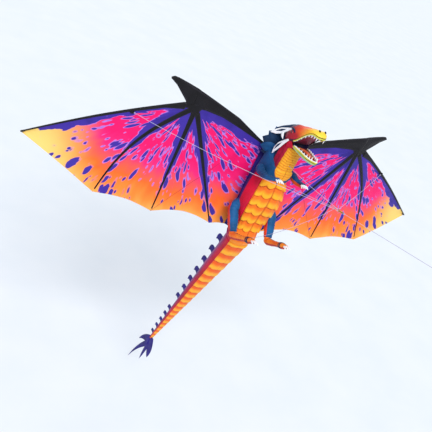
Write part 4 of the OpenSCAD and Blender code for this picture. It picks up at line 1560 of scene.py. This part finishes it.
def make_mane():
    """Overlapping stuffed lobes that fan out behind the head."""
    lobes = [
        (-58, 78, 24), (-36, 84, 24), (-14, 90, 25), (8, 92, 25), (30, 90, 24),
        (52, 86, 23), (72, 82, 22), (90, 80, 22), (108, 82, 22), (128, 86, 23),
        (150, 90, 24), (172, 92, 25), (194, 90, 25), (216, 84, 24), (238, 78, 24),
    ]
    for k, (degrees, reach, wide) in enumerate(lobes):
        a = math.radians(degrees)
        way = np.array([math.cos(a), 0.0, math.sin(a)])
        start = np.array([0, 462, -10.0])
        shift = 5 * (k % 2)
        route = resample(
            [
                start + way * reach * share + [0, lean + shift, 0]
                for share, lean in ((0.12, -4), (0.5, 5), (0.82, 16), (1.0, 25))
            ],
            24,
        )
        t = np.linspace(0, 1, 24)
        width = wide * (1 - smooth(t, 0.66, 1.0)) ** 0.6 * (0.7 + 0.3 * t) + 0.8
        across = np.array([-way[2], 0, way[0]])
        angle = np.arange(28) * 2 * math.pi / 28
        pinch = 1 - 0.25 * np.exp(-((np.cos(angle) / 0.1) ** 2))
        deep = 10.5 * np.sqrt(clamp(width / wide, 0.02, 1))
        rings = (
            route[:, None]
            + (width[:, None] * np.cos(angle))[..., None] * across
            + (deep[:, None] * (np.sin(angle) * pinch)[None, :])[..., None] * np.array([0, 1.0, 0])
        )
        made = loft(f"mane_lobe_{k + 1}", rings / 1000, NAVY if k % 3 else TEAL)
        sew(made, "head", None if k else "mane")
    # crest from the brow over the crown
    parts = []
    for x, top in ((-34, 96), (-18, 104), (0, 108), (18, 104), (34, 96)):
        route = [
            [x * 0.8, 402, top + 8], [x * 1.05, 428, top], [x * 1.3, 456, top - 18], [x * 1.6, 492, top - 50]
        ]
        parts.append(blade_on(route, [4, 11, 10, 0.8], 5.0, (x * 0.02, 0.5, 1)))
    made = gather("crest", parts, NAVY)
    sew(made, "head")


make_mane()

# ---------------------------------------------------------------- limbs
SHOULDER, ELBOW, HAND = (76, 428, -104), (83, 352, -102), (60, 302, -80)
HIP, KNEE, ANKLE, TOES = (93, 450, -314), (87, 378, -402), (80, 268, -348), (78, 236, -332)


def limb_cloth(name, top, under, top_shade_line, seam=0.3):
    """Limb with a coloured upper side and a contrasting strip, by the attribute girth, and if asked a dark
    line of painted shade along the side away from the strip.
    """
    p = Paint(name, rough=0.5, sheen=0.04, specular=0.25)
    place = p.rest()
    side = p.attribute("girth")
    shade = p.noise(place, 24.0, 3.0)
    share = p.step(side + (shade - 0.5) * 0.2, seam, seam + 0.06)
    colour = p.mix(share, p.shades(shade, *top), p.shades(shade, *under))
    if top_shade_line:
        # painted shade: a dark navy line along the side opposite the contrast strip, the shin's top edge
        colour = p.mix(p.step(side, -0.93, -0.975), colour, "#14122e")
    return p.finish(colour, p.weave(place, 0.005) + p.noise(place, 60.0, 2.0) * 1.4, 0.45, 0.0013)


ARM_SKIN = limb_cloth("arm_cloth", ("#0c4f86", "#07325c"), ("#ee5a1c", "#c8341a"), False)
THIGH_SKIN = limb_cloth("thigh_cloth", ("#0c5f9c", "#084274"), ("#e2401e", "#b01c22"), False, 0.62)
SHIN_SKIN = limb_cloth("shin_cloth", ("#f79a2a", "#e8681c"), ("#d23a20", "#a01822"), True)


def limb(name, route, radii, material, contrast, flat=0.92, count=44):
    """Stuffed limb along a route. contrast is the direction its second colour faces."""
    points = resample(route, count)
    at = np.linspace(0, 1, len(radii))
    radius = along([[a, r] for a, r in zip(at, radii)], np.linspace(0, 1, count))
    wrinkle = 1 + 0.035 * np.sin(np.arange(count) * 1.7)
    rings = tube_rings(points, radius * wrinkle, 24, flat)
    out = rings - points[:, None]
    out /= np.linalg.norm(out, axis=2)[..., None]
    girth = out @ (np.asarray(contrast, float) / np.linalg.norm(contrast))
    return loft(name, rings / 1000, material, {"girth": girth})


def claw_rings(place, way, size, long):
    """Claw that bends down towards its point."""
    t = np.linspace(0, 1, 9)
    place, way = np.asarray(place, float), np.asarray(way, float)
    way = way / np.linalg.norm(way)
    route = place + way * (t * long)[:, None] + np.array([0, 0, -1.0]) * (0.28 * long * t**2)[:, None]
    return tube_rings(route / 1000, size / 1000 * np.sqrt(clamp(1.02 - t**2.0)), 10)


def make_limbs():
    for label, side in SIDES:
        m = lambda points: mirrored(points, side)
        arm = limb(
            f"arm_cloth_{label}",
            m([[44, 446, -112], [62, 438, -108], SHOULDER, [81, 390, -108], ELBOW, [74, 325, -92], HAND]),
            [17, 18, 17, 15.5, 13, 11, 9.5],
            ARM_SKIN, (-side * 0.6, -0.35, -1),
        )
        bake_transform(arm)
        sew(arm, None, f"arm_{label}")
        parts = [
            claw_rings(
                m([HAND[0] + k * 6.5, HAND[1] + 2, HAND[2] + 1 - abs(k) * 1.5]),
                m([k * 0.16 - 0.1, -1, 0.12]), 3.6, 22,
            )
            for k in (-1.5, -0.5, 0.5, 1.5)
        ]
        claws = gather(f"hand_claws_cloth_{label}", parts, WHITE)
        sew(claws, f"arm_{label}", f"hand_claws_{label}")
        # thigh, from inside the flank to the knee
        near = np.array(KNEE) + (np.array(HIP) - np.array(KNEE)) * 0.10
        thigh = limb(
            f"thigh_cloth_{label}",
            m([[56, 470, -290], [76, 462, -300], HIP, [92, 425, -345], near]),
            [20, 23.5, 24, 23, 17.5],
            THIGH_SKIN, (-1.0, 0.35, -0.2) if side < 0 else (-1.0, 0.1, -0.3),
        )
        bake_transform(thigh)
        sew(thigh, None, f"thigh_{label}")
        shin = limb(
            f"shin_cloth_{label}",
            m([near + [0, 4, 6], KNEE, [85, 350, -392], [82, 305, -368], ANKLE, [79, 252, -340], TOES]),
            [14, 16.5, 15, 12.5, 12, 14, 9],
            SHIN_SKIN, (0, -0.35, -1),
        )
        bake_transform(shin)
        sew(shin, None, f"shin_{label}")
        # dark cuff at the ankle
        cuff = limb(
            f"ankle_cuff_{label}", m([[81, 278, -353], [79.5, 262, -345]]), [13.6, 14.6], NAVY, (0, 0, 1),
            0.95, 8,
        )
        sew(cuff, f"shin_{label}")
        parts = [
            claw_rings(
                m([TOES[0] + k * 7.5, TOES[1] + 5, TOES[2] + 1 - abs(k) * 2]), m([k * 0.2, -1, 0.25]), 4.4, 25
            )
            for k in (-1, 0, 1)
        ]
        claws = gather(f"foot_claws_cloth_{label}", parts, WHITE)
        sew(claws, f"shin_{label}", f"foot_claws_{label}")


make_limbs()

# ---------------------------------------------------------------- carried-over hard parts
HARD = {"tow_ring": STEEL, "swivel_eye": STEEL, "snap_hook": BRASS, "spine_rod": ROD, "centre_hub": RUBBER}
for label, _ in SIDES:
    HARD.update(
        {
            f"battens_{label}": ROD, f"leading_spars_{label}": ROD, f"strut_{label}": ROD,
            f"tip_caps_{label}": RUBBER,
        }
    )
for node, material in HARD.items():
    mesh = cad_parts[node].data
    mesh.materials.clear()
    mesh.materials.append(material)

# ---------------------------------------------------------------- floor
floor_mesh = bpy.data.meshes.new("floor")
corners = [(x * FLOOR_HALF, y * FLOOR_HALF, FLOOR_Z) for x, y in ((-1, -1), (1, -1), (1, 1), (-1, 1))]
floor_mesh.from_pydata(corners, [], [(0, 1, 2, 3)])
floor = bpy.data.objects.new("floor", floor_mesh)
bpy.context.scene.collection.objects.link(floor)
paper = Paint("paper", rough=0.9, specular=0.1)
grain = paper.noise(paper.spot(), 3.0, 4.0)
floor_mesh.materials.append(
    paper.finish(paper.ramp(grain, [(0.2, "#dfe6ee"), (0.8, "#e6ebf1")]), grain, 0.02, 0.01)
)
